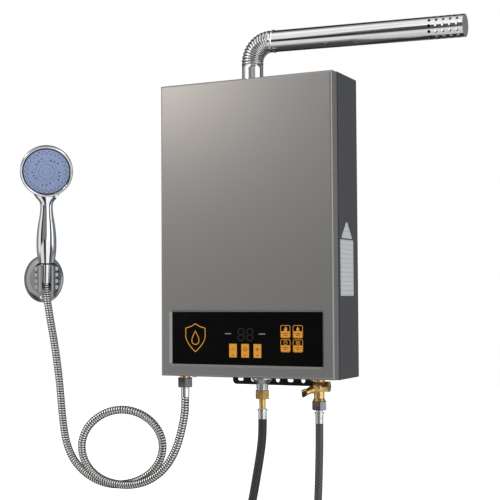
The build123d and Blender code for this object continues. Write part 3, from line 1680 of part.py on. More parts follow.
with BuildPart() as handset_body:
    for sections in (handle_sections, neck_sections):
        for height, forward, half_width, half_depth in sections:
            with BuildSketch(handset_plane.offset(height)):
                with Locations((0, -forward)):
                    Ellipse(half_width, half_depth)
        loft()
    with BuildSketch(dome_side_plane):
        with BuildLine():
            Polyline((0, -head_depth), (0, rim_back), (head_r, rim_back))
            Spline(
                (head_r, rim_back),
                (head_crown_r, -head_depth),
                tangents=((0, -1), (-1, 0)),
            )
            Line((head_crown_r, -head_depth), (0, -head_depth))
        make_face()
    revolve(axis=Axis(head_centre, face_dir))
    with BuildSketch(head_plane.offset(rim_back)):
        Circle(collar_outer_r)
    extrude(amount=-rim_back - rim_inset)
    with BuildSketch(head_plane.offset(-face_thick)):
        Circle(face_r + rim_fit)
    extrude(amount=face_thick, mode=Mode.SUBTRACT)
    with BuildSketch(head_plane.offset(head_floor - head_depth)):
        Circle(chamber_floor_r)
    with BuildSketch(head_plane.offset(-face_thick)):
        Circle(chamber_r)
    loft(mode=Mode.SUBTRACT)
    with BuildSketch(handset_plane):
        Circle(spigot_r)
    extrude(amount=spigot_end)
    with BuildSketch(handset_plane.offset(spigot_end)):
        Circle(water_bore)
    extrude(amount=bore_height - spigot_end, mode=Mode.SUBTRACT)
handset_body.part.label = "handset_body"
export_step(handset_body.part, "parts/handset_body.step")

# Spray face with its rings of nozzles
with BuildPart() as spray_face:
    with BuildSketch(head_plane.offset(-face_thick)):
        Circle(face_r)
    extrude(amount=face_thick)
    with BuildSketch(head_plane):
        for ring_radius, ring_count in nozzle_rings:
            with PolarLocations(ring_radius, ring_count):
                Circle(nozzle_bump_r)
    extrude(amount=nozzle_bump_height)
spray_face.part.label = "spray_face"
export_step(spray_face.part, "parts/spray_face.step")

# Selector ring: turns round the face collar, with a thumb lever
with BuildPart() as selector_ring:
    with BuildSketch(head_plane.offset(-rim_height)):
        Circle(head_r)
        with PolarLocations(head_r, 1, start_angle=lever_angle):
            RectangleRounded(2 * lever_length, lever_width, lever_corner_radius)
        Circle(collar_outer_r + rim_fit, mode=Mode.SUBTRACT)
    extrude(amount=rim_height)
selector_ring.part.label = "selector_ring"
export_step(selector_ring.part, "parts/selector_ring.step")

# Shower hose: a ribbed tube with its bore, from the sleeve to the cone
hose_tail = handset_plane.from_local_coords(Vector(0, 0, cone_bottom - hose_lead))
hose_end_point = handset_plane.from_local_coords(Vector(0, 0, cone_bottom))
shower_points = [at(hot_x, pipe_out, sleeve_bottom)] + shower_hose_route
shower_points.append((hose_tail.X, hose_tail.Y, hose_tail.Z))
shower_points.append((hose_end_point.X, hose_end_point.Y, hose_end_point.Z))
shower_radii = soft_radii(shower_points)
shower_wire = route_wire(shower_points, shower_radii)
groove_r = shower_hose_r - rib_depth


def hose_plane(distance):
    """The plane square to the shower hose at a distance along it."""
    place = shower_wire.position_at(distance, position_mode=PositionMode.LENGTH)
    heading = shower_wire.tangent_at(distance, position_mode=PositionMode.LENGTH)
    return Plane(origin=place, x_dir=(0, 1, 0), z_dir=heading)


rib_stretch = shower_wire.length - 2 * plain_end
rib_pitch = rib_stretch / rib_count
rib_radii = (groove_r, shower_hose_r, shower_hose_r, groove_r)
with BuildPart() as shower_hose:
    with BuildSketch(hose_plane(0)):
        Circle(groove_r)
    for rib in range(rib_count):
        rib_start = plain_end + rib * rib_pitch
        for share, radius in zip(rib_shares, rib_radii):
            with BuildSketch(hose_plane(rib_start + share * rib_pitch)):
                Circle(radius)
    with BuildSketch(hose_plane(shower_wire.length)):
        Circle(groove_r)
    loft(ruled=True)
    with BuildSketch(hose_plane(0)):
        Circle(shower_hose_bore)
    sweep(path=shower_wire, mode=Mode.SUBTRACT)
shower_hose.part.label = "shower_hose"
export_step(shower_hose.part, "parts/shower_hose.step")
report_cord("shower_hose", shower_wire, shower_radii, shower_hose.part, shower_hose_r, shower_hose_bore)
for point in shower_points[-2:]:
    print("shower_hose end point", [round(value, 1) for value in point])
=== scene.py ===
"""Looks of a wall-hung tankless gas water heater with its flue, hoses and hand shower."""

import logging
import math
from dataclasses import dataclass, field
from enum import Enum
from typing import Dict, List, NamedTuple, Optional, Tuple, Union

import bmesh
import bpy
import numpy as np
from mathutils import Matrix, Vector
from numpy.typing import NDArray


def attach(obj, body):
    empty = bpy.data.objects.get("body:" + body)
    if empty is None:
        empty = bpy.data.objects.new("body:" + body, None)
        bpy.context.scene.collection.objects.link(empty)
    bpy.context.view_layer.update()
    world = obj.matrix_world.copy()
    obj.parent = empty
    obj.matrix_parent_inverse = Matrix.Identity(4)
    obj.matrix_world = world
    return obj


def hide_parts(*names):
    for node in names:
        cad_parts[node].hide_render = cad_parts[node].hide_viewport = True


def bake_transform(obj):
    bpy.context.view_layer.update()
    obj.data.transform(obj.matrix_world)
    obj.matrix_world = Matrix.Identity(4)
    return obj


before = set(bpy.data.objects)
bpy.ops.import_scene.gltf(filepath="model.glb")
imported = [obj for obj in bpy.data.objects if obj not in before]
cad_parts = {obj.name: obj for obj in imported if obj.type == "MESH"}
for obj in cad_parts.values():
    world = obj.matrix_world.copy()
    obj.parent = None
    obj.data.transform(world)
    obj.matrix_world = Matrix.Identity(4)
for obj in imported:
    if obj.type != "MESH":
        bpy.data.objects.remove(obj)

Points = NDArray[np.float64]
Pair = Tuple[float, float]
Triple = Tuple[float, float, float]
Colour = Tuple[float, float, float]
Rows = Tuple[Tuple[float, ...], ...]
Node = bpy.types.Node
Socket = bpy.types.NodeSocket
Operand = Union["Value", float]
Inputs = Dict[Union[str, int], object]

MM = 0.001
RIGHT = (1.0, 0.0, 0.0)
INWARD = (0.0, 1.0, 0.0)
OUTWARD = (0.0, -1.0, 0.0)
UP = (0.0, 0.0, 1.0)
WHITE = (1.0, 1.0, 1.0)
STEEL = (0.84, 0.84, 0.845)
BRAID_STRANDS = 6
BRAID_LAY = 38.0
MAP_NAME = "hose"
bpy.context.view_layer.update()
log = logging.getLogger("water_heater")


class Body(Enum):
    """The moving bodies that pieces ride on."""

    HEATER = "heater"
    FLUE = "flue"
    MINUS = "minus"
    POWER = "power"
    PLUS = "plus"
    CONE = "cone"
    HANDSET = "handset"
    SELECTOR = "selector"


class HoseSkin(Enum):
    """How the outside of a hose is made."""

    SMOOTH = "smooth"
    BRAIDED = "braided"
    RIBBED = "ribbed"


class Line(Enum):
    """How a printed sign follows its outline."""

    FILLED = "filled"
    CLOSED = "closed"
    OPEN = "open"


class Noise(NamedTuple):
    """A smooth noise: waves per metre, octaves, a stretch along the axes and edges that sharpen it."""

    scale: float
    detail: float = 2.0
    stretch: Triple = (1.0, 1.0, 1.0)
    edge: Optional[Pair] = None


SMUDGES = Noise(28.0, 3.0, edge=(0.35, 0.75))
TARNISH = Noise(70.0, 4.0, edge=(0.42, 0.72))


class Value:
    """A number socket whose operators add Math nodes."""

    def __init__(self, graph: "Graph", socket: Socket) -> None:
        """Keep the graph and the socket that gives the number."""
        self.graph = graph
        self.socket = socket

    def _math(self, operation: str, second: Operand = 0.0) -> "Value":
        """Add one Math node on this value and a second operand."""
        return self.graph.value("Math", {"operation": operation}, {0: self, 1: second})

    def __add__(self, other: Operand) -> "Value":
        """Sum with a value or a number, on either side."""
        return self._math("ADD", other)

    __radd__ = __add__

    def __sub__(self, other: Operand) -> "Value":
        """Difference from a value or a number."""
        return self._math("SUBTRACT", other)

    def __mul__(self, other: Operand) -> "Value":
        """Product with a value or a number."""
        return self._math("MULTIPLY", other)

    def __truediv__(self, other: Operand) -> "Value":
        """Quotient by a value or a number."""
        return self._math("DIVIDE", other)

    def smooth(self, low: float, high: float) -> "Value":
        """Rise from 0 to 1 in an S-curve as the value goes from low to high."""
        span = {"Value": self, "From Min": low, "From Max": high}
        return self.graph.value("MapRange", {"interpolation_type": "SMOOTHSTEP"}, span)

    def window(self, low: float, high: float, soft: float) -> "Value":
        """One between low and high, falling to nought over a soft edge."""
        return self.smooth(low - soft, low + soft) * self.smooth(high + soft, high - soft)

    def fraction(self) -> "Value":
        """The part after the decimal point."""
        return self._math("FRACT")

    def off_middle(self) -> "Value":
        """Square of the distance from the middle of each whole step."""
        away = self.fraction() - 0.5
        return away * away

    def swing(self, reach: float) -> "Value":
        """A noise's swing to both sides of nought, times a reach."""
        return (self - 0.5) * reach

    def heading(self, ahead: "Value") -> "Value":
        """Angle in degrees whose sine is this value and whose cosine is the other."""
        return self._math("ARCTAN2", ahead) * math.degrees(1.0)


class Graph:
    """A node tree with one method that adds any node."""

    MIX_FACTOR = 0
    MIX_FIRST = 6
    MIX_SECOND = 7
    MIX_RESULT = 2

    def __init__(self, tree: bpy.types.NodeTree) -> None:
        """Keep the node tree that nodes are added to."""
        self.tree = tree

    def feed(self, node: Node, sockets: Inputs) -> None:
        """Link or set a node's inputs.

        Args:
            node: the node.
            sockets: inputs by name or number, each a value, a socket or a plain default.
        """
        for key, given in sockets.items():
            source = given.socket if isinstance(given, Value) else given
            if isinstance(source, Socket):
                self.tree.links.new(source, node.inputs[key])
            else:
                node.inputs[key].default_value = source

    def node(self, kind: str, settings: Optional[Dict] = None, sockets: Optional[Inputs] = None) -> Node:
        """Add a node.

        Args:
            kind: Blender's name of the node type, without its prefix.
            settings: attributes of the node, set first.
            sockets: inputs by name or number.

        Returns:
            The new node.
        """
        node = self.tree.nodes.new("ShaderNode" + kind)
        for name, setting in (settings or {}).items():
            setattr(node, name, setting)
        self.feed(node, sockets or {})
        return node

    def value(self, kind: str, settings: Optional[Dict], sockets: Inputs) -> Value:
        """Add a node and take its first output as a number."""
        return Value(self, self.node(kind, settings, sockets).outputs[0])

    def part(self, vector: Socket, name: str) -> Value:
        """One coordinate, X, Y or Z, of a vector."""
        return Value(self, self.node("SeparateXYZ", None, {0: vector}).outputs[name])

    def dot(self, vector: Socket, axis: Vector) -> Value:
        """How far a vector goes along an axis."""
        sockets = {0: vector, 1: tuple(axis)}
        return Value(self, self.node("VectorMath", {"operation": "DOT_PRODUCT"}, sockets).outputs["Value"])

    def place(self) -> Socket:
        """The object's own coordinates, in metres."""
        return self.node("TexCoord").outputs["Object"]

    def mapped(self, name: str) -> Value:
        """A coordinate of the piece's own map: X round it, Y along it."""
        return self.part(self.node("UVMap", {"uv_map": MAP_NAME}).outputs[0], name)

    def noise(self, kind: Noise) -> Value:
        """A noise between 0 and 1, sharpened where it has edges."""
        place = self.node("Mapping", None, {"Vector": self.place(), "Scale": kind.stretch})
        sockets = {"Vector": place.outputs[0], "Scale": kind.scale, "Detail": kind.detail}
        made = self.value("TexNoise", None, sockets)
        return made if kind.edge is None else made.smooth(*kind.edge)

    def mix(self, factor: Value, first: Union[Colour, Socket], second: Colour) -> Socket:
        """A colour between two, by a factor from 0 to 1."""
        start = first if isinstance(first, Socket) else (*first, 1.0)
        sockets = {self.MIX_FACTOR: factor, self.MIX_FIRST: start, self.MIX_SECOND: (*second, 1.0)}
        return self.node("Mix", {"data_type": "RGBA"}, sockets).outputs[self.MIX_RESULT]

    def between(self, factor: Operand, first: Node, second: Node) -> Node:
        """A shader between two, by a factor from 0 to 1."""
        return self.node("MixShader", None, {0: factor, 1: first.outputs[0], 2: second.outputs[0]})

    def bump(self, height: Value, strength: float, distance: float) -> Socket:
        """A surface normal that is tilted by a height."""
        sockets = {"Strength": strength, "Distance": distance, "Height": height}
        return self.node("Bump", None, sockets).outputs[0]


def shade(colour: Colour, factor: float) -> Colour:
    """A colour made lighter or darker by a factor."""
    return tuple(min(1.0, channel * factor) for channel in colour)


@dataclass(frozen=True)
class Finish:
    """A surface finish, made as a material on first use.

    A stain takes the colour from one shade to another, or to a dull colour. Wear and a
    grain vary the roughness; the relief, or else the grain, tilts the normal.
    """

    name: str
    colour: Colour
    roughness: float = 0.4
    metallic: float = 0.0
    coat: float = 0.0
    coat_roughness: float = 0.08
    specular: float = 0.5
    shades: Pair = (0.92, 1.08)
    dull: Optional[Colour] = None
    stain: Noise = Noise(45.0)
    stain_share: float = 1.0
    wear: Optional[Noise] = None
    wear_gloss: float = 0.0
    grain: Noise = Noise(1400.0)
    gloss_swing: float = 0.15
    relief: Optional[Noise] = None
    depth: float = 0.15
    relief_height: float = 0.2 * MM

    def material(self) -> bpy.types.Material:
        """The finish's material, made once."""
        label = self.name + "_finish"
        found = bpy.data.materials.get(label)
        if found is not None:
            return found
        made = bpy.data.materials.new(label)
        made.use_nodes = True
        graph = Graph(made.node_tree)
        shader = made.node_tree.nodes["Principled BSDF"]
        plain = {
            "Metallic": self.metallic,
            "Roughness": self.roughness,
            "Coat Weight": self.coat,
            "Coat Roughness": self.coat_roughness,
            "Specular IOR Level": self.specular,
        }
        graph.feed(shader, plain)
        graph.feed(shader, self.pattern(graph))
        return made

    def pattern(self, graph: Graph) -> Inputs:
        """The shader's inputs that vary over the surface."""
        first, second = (shade(self.colour, factor) for factor in self.shades)
        stain = graph.noise(self.stain) * self.stain_share
        grain = graph.noise(self.grain)
        inputs = {
            "Base Color": graph.mix(stain, first, self.dull or second),
            "Roughness": grain.swing(self.gloss_swing) + self.worn(graph),
        }
        if self.depth > 0.0:
            relief = grain if self.relief is None else graph.noise(self.relief)
            inputs["Normal"] = graph.bump(relief, self.depth, self.relief_height)
        return inputs

    def worn(self, graph: Graph) -> Operand:
        """The roughness with its wear."""
        if self.wear is None:
            return self.roughness
        return graph.noise(self.wear) * self.wear_gloss + self.roughness


@dataclass(frozen=True)
class Moulded(Finish):
    """Moulded plastic or rubber with a fine grain."""


@dataclass(frozen=True)
class Paint(Finish):
    """Sprayed metallic paint: soft clouds, fine flake and a faint orange peel."""

    shades: Pair = (0.97, 1.03)
    stain: Noise = Noise(5.0, 3.0)
    grain: Noise = Noise(1500.0, 1.0)
    gloss_swing: float = 0.10
    relief: Optional[Noise] = Noise(240.0, 1.0)
    depth: float = 0.06
    relief_height: float = 0.4 * MM


@dataclass(frozen=True)
class Cast(Finish):
    """Cast metal with a sandy skin."""

    shades: Pair = (0.85, 1.1)
    stain: Noise = Noise(60.0)
    grain: Noise = Noise(900.0, 3.0)
    gloss_swing: float = 0.2
    depth: float = 0.35
    relief_height: float = 0.4 * MM


@dataclass(frozen=True)
class Ink(Finish):
    """Printed ink with a slight mottle."""

    shades: Pair = (0.9, 1.1)
    stain: Noise = Noise(420.0, 3.0)
    grain: Noise = Noise(420.0, 3.0)
    gloss_swing: float = 0.1
    depth: float = 0.0


@dataclass(frozen=True)
class Bright(Finish):
    """Polished or plated metal with faint smudges and hairline marks."""

    metallic: float = 1.0
    shades: Pair = (1.0, 0.93)
    stain: Noise = SMUDGES
    wear: Optional[Noise] = SMUDGES
    wear_gloss: float = 0.06
    grain: Noise = Noise(60.0, stretch=(30.0, 1.0, 1.0))
    gloss_swing: float = 0.03
    depth: float = 0.0


@dataclass(frozen=True)
class Machined(Finish):
    """Turned or drawn metal with tarnish clouds in a dull colour and fine tool marks."""

    metallic: float = 1.0
    shades: Pair = (1.0, 1.0)
    stain: Noise = TARNISH
    stain_share: float = 0.7
    wear: Optional[Noise] = TARNISH
    wear_gloss: float = 0.14
    grain: Noise = Noise(120.0, stretch=(1.0, 1.0, 18.0))
    gloss_swing: float = 0.12
    depth: float = 0.10


@dataclass(frozen=True)
class Acrylic(Finish):
    """Gloss dark acrylic with faint dust and wipe marks."""

    shades: Pair = (1.0, 3.0)
    stain: Noise = Noise(1800.0, 1.0, edge=(0.72, 0.82))
    stain_share: float = 0.3
    wear: Optional[Noise] = Noise(14.0, 3.0, (1.0, 1.0, 3.0), (0.4, 0.8))
    wear_gloss: float = 0.06
    gloss_swing: float = 0.0
    depth: float = 0.0


@dataclass(frozen=True)
class Sticker(Finish):
    """Pale foil sticker with plain ruled lines."""

    shades: Pair = (0.95, 1.04)
    stain: Noise = Noise(160.0)
    grain: Noise = Noise(160.0)
    gloss_swing: float = 0.1
    depth: float = 0.0
    rule_pitch: float = 8.2 * MM
    rule_edge: Pair = (0.16, 0.112)
    rule_share: float = 0.55
    rule_colour: Colour = (0.34, 0.35, 0.37)

    def pattern(self, graph: Graph) -> Inputs:
        """Draw ruled lines across the height, on mottled paper."""
        inputs = super().pattern(graph)
        band = (graph.part(graph.place(), "Z") / self.rule_pitch).fraction()
        rule = band.smooth(*self.rule_edge) * self.rule_share
        inputs["Base Color"] = graph.mix(rule, inputs["Base Color"], self.rule_colour)
        return inputs


@dataclass(frozen=True)
class Ribbed(Finish):
    """Wound or folded steel strip, with painted shade darkening the grooves between its turns."""

    metallic: float = 1.0
    # Painted shade: the grooves take this dark colour, through a mask with these edges.
    groove_shade_colour: Colour = (0.03, 0.028, 0.025)
    groove_shade_edge: Pair = (0.055, 0.13)
    groove_gloss: float = 0.3
    wear: Optional[Noise] = Noise(120.0)
    wear_gloss: float = 0.08

    def pattern(self, graph: Graph) -> Inputs:
        """Paint shade into the grooves and dull them, and smudge the rest."""
        # The mask of the painted shade in the grooves; it also dulls them.
        groove = sum(turn.off_middle().smooth(*self.groove_shade_edge) for turn in self.turns(graph))
        return {
            "Base Color": graph.mix(groove, self.colour, self.groove_shade_colour),
            "Roughness": groove * self.groove_gloss + self.worn(graph),
        }

    def turns(self, graph: Graph) -> List[Value]:
        """Counts that are whole numbers in the grooves: the map's own."""
        return [graph.mapped("Y")]


@dataclass(frozen=True)
class Woven(Ribbed):
    """Steel braid over dark rubber, with painted shade in the gaps between the strands, on a map in
    millimetres.
    """

    # Painted shade in the gaps between the strands, over the dark rubber.
    groove_shade_colour: Colour = (0.02, 0.02, 0.022)
    groove_shade_edge: Pair = (0.12, 0.22)
    groove_gloss: float = 0.2
    wear: Optional[Noise] = None

    def turns(self, graph: Graph) -> List[Value]:
        """Counts of the two crossing sets of strands."""
        around = graph.mapped("X") * BRAID_STRANDS
        along = graph.mapped("Y") / BRAID_LAY * BRAID_STRANDS
        return [around + along, around - along]


class Finishes:
    """The heater's finishes."""

    cover = Paint(
        "cover_paint", (0.325, 0.315, 0.307), roughness=0.32, metallic=0.60, specular=0.4, gloss_swing=0.12
    )
    case = Paint("case_paint", (0.100, 0.100, 0.106), roughness=0.40, metallic=0.30, specular=0.3)
    strip = Paint("strip_paint", (0.007, 0.007, 0.008), roughness=0.5, specular=0.3, gloss_swing=0.08)
    zinc = Machined("zinc_plate", (0.55, 0.56, 0.58), roughness=0.34, dull=(0.40, 0.41, 0.42))
    acrylic = Acrylic("panel_acrylic", (0.0030, 0.0030, 0.0030), roughness=0.22, specular=0.12)
    carrier = Moulded("carrier_plastic", (0.02, 0.02, 0.02), roughness=0.5)
    board = Moulded("board_mask", (0.02, 0.12, 0.05), roughness=0.35, grain=Noise(500.0))
    display = Moulded("display_block", (0.02, 0.01, 0.008), roughness=0.3)
    amber = Ink("amber_print", (0.86, 0.37, 0.035), roughness=0.45, specular=0.3)
    dark_print = Ink("dark_print", (0.16, 0.055, 0.01), roughness=0.5, specular=0.3)
    grey_print = Ink("grey_print", (0.30, 0.29, 0.27), roughness=0.5, specular=0.3)
    segment = Ink("unlit_segment", (0.020, 0.019, 0.018), roughness=0.4, specular=0.2)
    sticker = Sticker("pale_sticker", (0.67, 0.69, 0.72), roughness=0.5, specular=0.3)
    stainless = Bright("bright_stainless", STEEL, roughness=0.07, wear_gloss=0.05)
    chrome = Bright("chrome_plating", (0.86, 0.865, 0.875), roughness=0.04, wear_gloss=0.03)
    satin_chrome = Bright("satin_plating", (0.38, 0.385, 0.39), roughness=0.24, wear_gloss=0.08)
    grey_plating = Bright("grey_plating", (0.44, 0.443, 0.45), roughness=0.18)
    # The folded elbow and the shower hose's strip get painted shade in their grooves.
    folded = Ribbed(
        "folded_stainless", STEEL, roughness=0.09, groove_shade_colour=(0.05, 0.05, 0.052), groove_shade_edge=(0.11, 0.23)
    )
    hose_steel = Ribbed("hose_strip", (0.80, 0.79, 0.765), roughness=0.10)
    brass = Machined("bare_brass", (0.83, 0.56, 0.21), roughness=0.28, dull=(0.58, 0.34, 0.11))
    copper = Machined("bare_copper", (0.76, 0.40, 0.26), roughness=0.28, dull=(0.40, 0.19, 0.11))
    nickel = Machined("nickel_plate", (0.30, 0.295, 0.315), roughness=0.22, dull=(0.20, 0.195, 0.21))
    ferrule = Machined("crimped_steel", (0.72, 0.71, 0.70), roughness=0.20, dull=(0.52, 0.50, 0.49))
    sheet = Machined("burner_sheet", (0.52, 0.52, 0.53), roughness=0.36, dull=(0.34, 0.33, 0.32))
    cast = Cast("die_cast", (0.62, 0.63, 0.64), roughness=0.30, metallic=0.95)
    motor = Cast("motor_case", (0.10, 0.10, 0.11), roughness=0.45, metallic=0.6)
    ceramic = Moulded("glazed_ceramic", (0.80, 0.77, 0.70), roughness=0.15, coat=0.6, grain=Noise(300.0))
    potted = Moulded("potted_module", (0.035, 0.035, 0.04), roughness=0.55)
    white = Moulded("white_plastic", (0.62, 0.62, 0.60), roughness=0.4)
    rubber = Moulded(
        "hose_rubber", (0.038, 0.037, 0.042), roughness=0.42, specular=0.4, grain=Noise(900.0), depth=0.2
    )
    # Plain black, for the handset ring and for the ring that paints the shadow in the spray face's edge gap.
    seal_and_shade = Moulded("black_ring", (0.010, 0.010, 0.010), roughness=0.35)
    # The braid gets painted shade in the gaps between its strands.
    braid = Woven("hose_braid", (0.14, 0.14, 0.148), roughness=0.36, metallic=0.5)
    face = Moulded(
        "spray_face_plastic",
        (0.385, 0.485, 0.770),
        roughness=0.34,
        specular=0.3,
        grain=Noise(700.0),
        depth=0.06,
    )
    nozzle = Moulded("nozzle_rubber", (0.110, 0.140, 0.26), roughness=0.45, specular=0.3)
    port = Moulded("spray_port", (0.030, 0.034, 0.055), roughness=0.4)


Wearers = Tuple[Tuple[Finish, str], ...]


def full_turn(steps: int) -> Points:
    """Evenly spaced angles of one full turn."""
    return np.linspace(0.0, 2.0 * np.pi, steps, endpoint=False)


def on_circle(turn: Points) -> Points:
    """Rows of x and y on the unit circle: the cosine and the sine of each turn."""
    return np.stack([np.cos(turn), np.sin(turn)], axis=1)


def unit(rows: Points) -> Points:
    """Rows scaled to length one."""
    return rows / np.linalg.norm(rows, axis=1, keepdims=True)


def across_ring(values: Points, sides: int) -> Points:
    """One value for each ring, repeated for all its sides."""
    return np.repeat(values[:, None], sides, axis=1)


@dataclass(frozen=True)
class Place:
    """A local frame: an origin, in millimetres, and three axes."""

    origin: Triple
    x_axis: Triple
    y_axis: Triple
    z_axis: Triple

    def apply(self, local: Points) -> Points:
        """Local points as points of the heater's frame."""
        axes = np.array([self.x_axis, self.y_axis, self.z_axis], dtype=float)
        return np.asarray(self.origin, dtype=float) + np.asarray(local, dtype=float) @ axes


@dataclass
class Shell:
    """Points, in millimetres, and faces of a piece while it is put together."""

    points: List[Points] = field(default_factory=list)
    faces: List[List[int]] = field(default_factory=list)
    maps: List[Points] = field(default_factory=list)
    count: int = 0
    merge_distance: float = 0.001 * MM

    def grid(self, grid: Points, capped: bool = False, uv: Optional[Points] = None) -> None:
        """Add a surface whose last column joins its first.

        Args:
            grid: points of shape rows, columns, 3.
            capped: whether the first and last rows are closed by a face.
            uv: a map value for each point, of shape rows, columns, 2.
        """
        rows, columns = grid.shape[:2]
        index = np.arange(rows * columns).reshape(rows, columns) + self.count
        beside = np.roll(index, -1, axis=1)
        quads = np.stack([index[:-1], beside[:-1], beside[1:], index[1:]], axis=-1)
        self.faces.extend(quads.reshape(-1, 4).tolist())
        if capped:
            self.faces.extend([index[0][::-1].tolist(), index[-1].tolist()])
        self.points.append(grid.reshape(-1, 3))
        self.maps.append(np.zeros((rows * columns, 2)) if uv is None else uv.reshape(-1, 2))
        self.count += rows * columns

    def lathe(self, profile: Points, place: Place, sides: int) -> None:
        """Add a surface turned about the place's z axis.

        A point is the radius times the cosine and the sine of the turn, and the height.

        Args:
            profile: rows of radius and height.
            place: the local frame.
            sides: number of columns around.
        """
        turn = full_turn(sides)
        radius = profile[:, :1]
        height = across_ring(profile[:, 1], sides)
        self.grid(place.apply(np.stack([radius * np.cos(turn), radius * np.sin(turn), height], axis=-1)))

    def stroke(self, path: Points, width: float, rise: float, place: Place, closed: bool = False) -> None:
        """Add a flat bar of constant width along a path in the place's x and y.

        The sides are the path shifted along its normal by half the width, stretched at
        the corners by the inverse cosine of half the turn.

        Args:
            path: rows of x and y.
            width: width of the bar.
            rise: height of the bar above the place.
            place: the local frame.
            closed: whether the path returns to its start.
        """
        sharpest = 0.4
        ring = np.concatenate([path, path[:1]]) if closed else path
        runs = unit(np.diff(ring, axis=0))
        before = np.concatenate([runs[-1:] if closed else runs[:1], runs])
        after = np.concatenate([runs, runs[:1] if closed else runs[-1:]])
        mean = unit(before + after)
        stretch = 1.0 / np.clip(np.sum(mean * after, axis=1, keepdims=True), sharpest, 1.0)
        normal = np.stack([-mean[:, 1], mean[:, 0]], axis=1) * stretch * width / 2.0
        left, right = ring + normal, ring - normal
        corners = raised((left, right, right, left), rise)
        self.grid(place.apply(np.stack(corners, axis=1)), capped=not closed)

    def patch(self, outline: Points, rise: float, place: Place) -> None:
        """Add a low closed plate with a star-shaped outline.

        Its rows run from the middle of the top out to the rim, down to the base and back in.

        Args:
            outline: rows of x and y, round the plate.
            rise: its thickness.
            place: the local frame.
        """
        middle = np.broadcast_to(outline.mean(axis=0), outline.shape)
        self.grid(place.apply(np.stack(raised((middle, outline, outline, middle), rise))))

    def piece(
        self, name: str, finish: Finish, body: Optional[Body], sharp: float = 35.0
    ) -> bpy.types.Object:
        """Make the object, with merged doubles, outward faces and a map.

        Args:
            name: the piece's name.
            finish: its finish.
            body: the body that it rides on, or None where it rides on no body.
            sharp: angle in degrees above which an edge is drawn sharp.

        Returns:
            The new object, at the origin.
        """
        mesh = bpy.data.meshes.new(name)
        mesh.from_pydata((np.concatenate(self.points) * MM).tolist(), [], self.faces)
        uv_map = mesh.uv_layers.new(name=MAP_NAME)
        corners = np.zeros(len(mesh.loops), dtype=np.int32)
        mesh.loops.foreach_get("vertex_index", corners)
        uv_map.data.foreach_set("uv", np.concatenate(self.maps)[corners].astype(np.float32).ravel())
        work = bmesh.new()
        work.from_mesh(mesh)
        bmesh.ops.remove_doubles(work, verts=work.verts, dist=self.merge_distance)
        bmesh.ops.recalc_face_normals(work, faces=work.faces)
        work.to_mesh(mesh)
        work.free()
        mesh.shade_smooth()
        mesh.set_sharp_from_angle(angle=math.radians(sharp))
        mesh.materials.append(finish.material())
        made = bpy.data.objects.new(name, mesh)
        bpy.context.scene.collection.objects.link(made)
        if body is not None:
            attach(made, body.value)
        log.info("piece %s: %d faces", name, len(mesh.polygons))
        return made


def raised(lines: Tuple[Points, Points, Points, Points], rise: float) -> List[Points]:
    """Four flat lines as lines in space, the first two raised and the last two at nought."""
    return [np.insert(line, 2, up, axis=1) for line, up in zip(lines, (rise, rise, 0.0, 0.0))]


def rounded_box(width: float, height: float, radius: float, steps: int = 6) -> Points:
    """Outline of a rectangle with round corners, about its middle."""
    quarter = np.pi / 2.0
    corners = []
    for number, (along, up) in enumerate(((1, 1), (-1, 1), (-1, -1), (1, -1))):
        centre = (along * (width / 2 - radius), up * (height / 2 - radius))
        corners.append(centre + radius * on_circle(np.linspace(0.0, quarter, steps) + number * quarter))
    return np.concatenate(corners)


def drop_outline(width: float, height: float, lean: float = 0.0, steps: int = 36) -> Points:
    """Outline of a drop: x is the sine of the turn times a power of its half sine, y its cosine."""
    pinch = 1.4
    breadth = 0.62
    turn = full_turn(steps)
    up = np.cos(turn)
    across = np.sin(turn) * np.abs(np.sin(turn / 2.0)) ** pinch
    return np.stack([across * width * breadth + lean * (up + 1.0) ** 2, up * height / 2.0], axis=1)


def through(knots: Points, values: Points, at: Points) -> Points:
    """A smooth curve through points.

    Between two knots it is the cubic whose slopes at the knots are the mean slopes
    of the neighbouring runs.

    Args:
        knots: rising places.
        values: the value at each knot.
        at: places to work out.

    Returns:
        The curve's values.
    """
    slope = np.gradient(values, knots)
    low = np.clip(np.searchsorted(knots, at, side="right") - 1, 0, len(knots) - 2)
    run = knots[low + 1] - knots[low]
    part = (at - knots[low]) / run
    rise = part * part * (3.0 - 2.0 * part)
    leave = part * (1.0 - part) ** 2 * run * slope[low]
    arrive = part * part * (part - 1.0) * run * slope[low + 1]
    return values[low] * (1.0 - rise) + values[low + 1] * rise + leave + arrive


def spline_line(route: Points, samples: int) -> Points:
    """Evenly spaced points on the smooth spline that a hose's route controls.

    Args:
        route: control points of a quadratic NURBS spline.
        samples: number of points wanted.

    Returns:
        Points along the spline, at equal distances.
    """
    curve = bpy.data.curves.new("route", "CURVE")
    curve.dimensions = "3D"
    spline = curve.splines.new("NURBS")
    spline.points.add(len(route) - 1)
    spline.points.foreach_set("co", np.insert(route, 3, 1.0, axis=1).ravel())
    spline.order_u = 3
    spline.use_endpoint_u = True
    spline.resolution_u = 24
    holder = bpy.data.objects.new("route", curve)
    mesh = bpy.data.meshes.new_from_object(holder)
    found = np.zeros(len(mesh.vertices) * 3)
    mesh.vertices.foreach_get("co", found)
    found = found.reshape(-1, 3)
    bpy.data.meshes.remove(mesh)
    bpy.data.objects.remove(holder)
    bpy.data.curves.remove(curve)
    gone = np.concatenate([[0.0], np.cumsum(np.linalg.norm(np.diff(found, axis=0), axis=1))])
    wanted = np.linspace(0.0, gone[-1], samples)
    return np.stack([np.interp(wanted, gone, column) for column in found.T], axis=1)


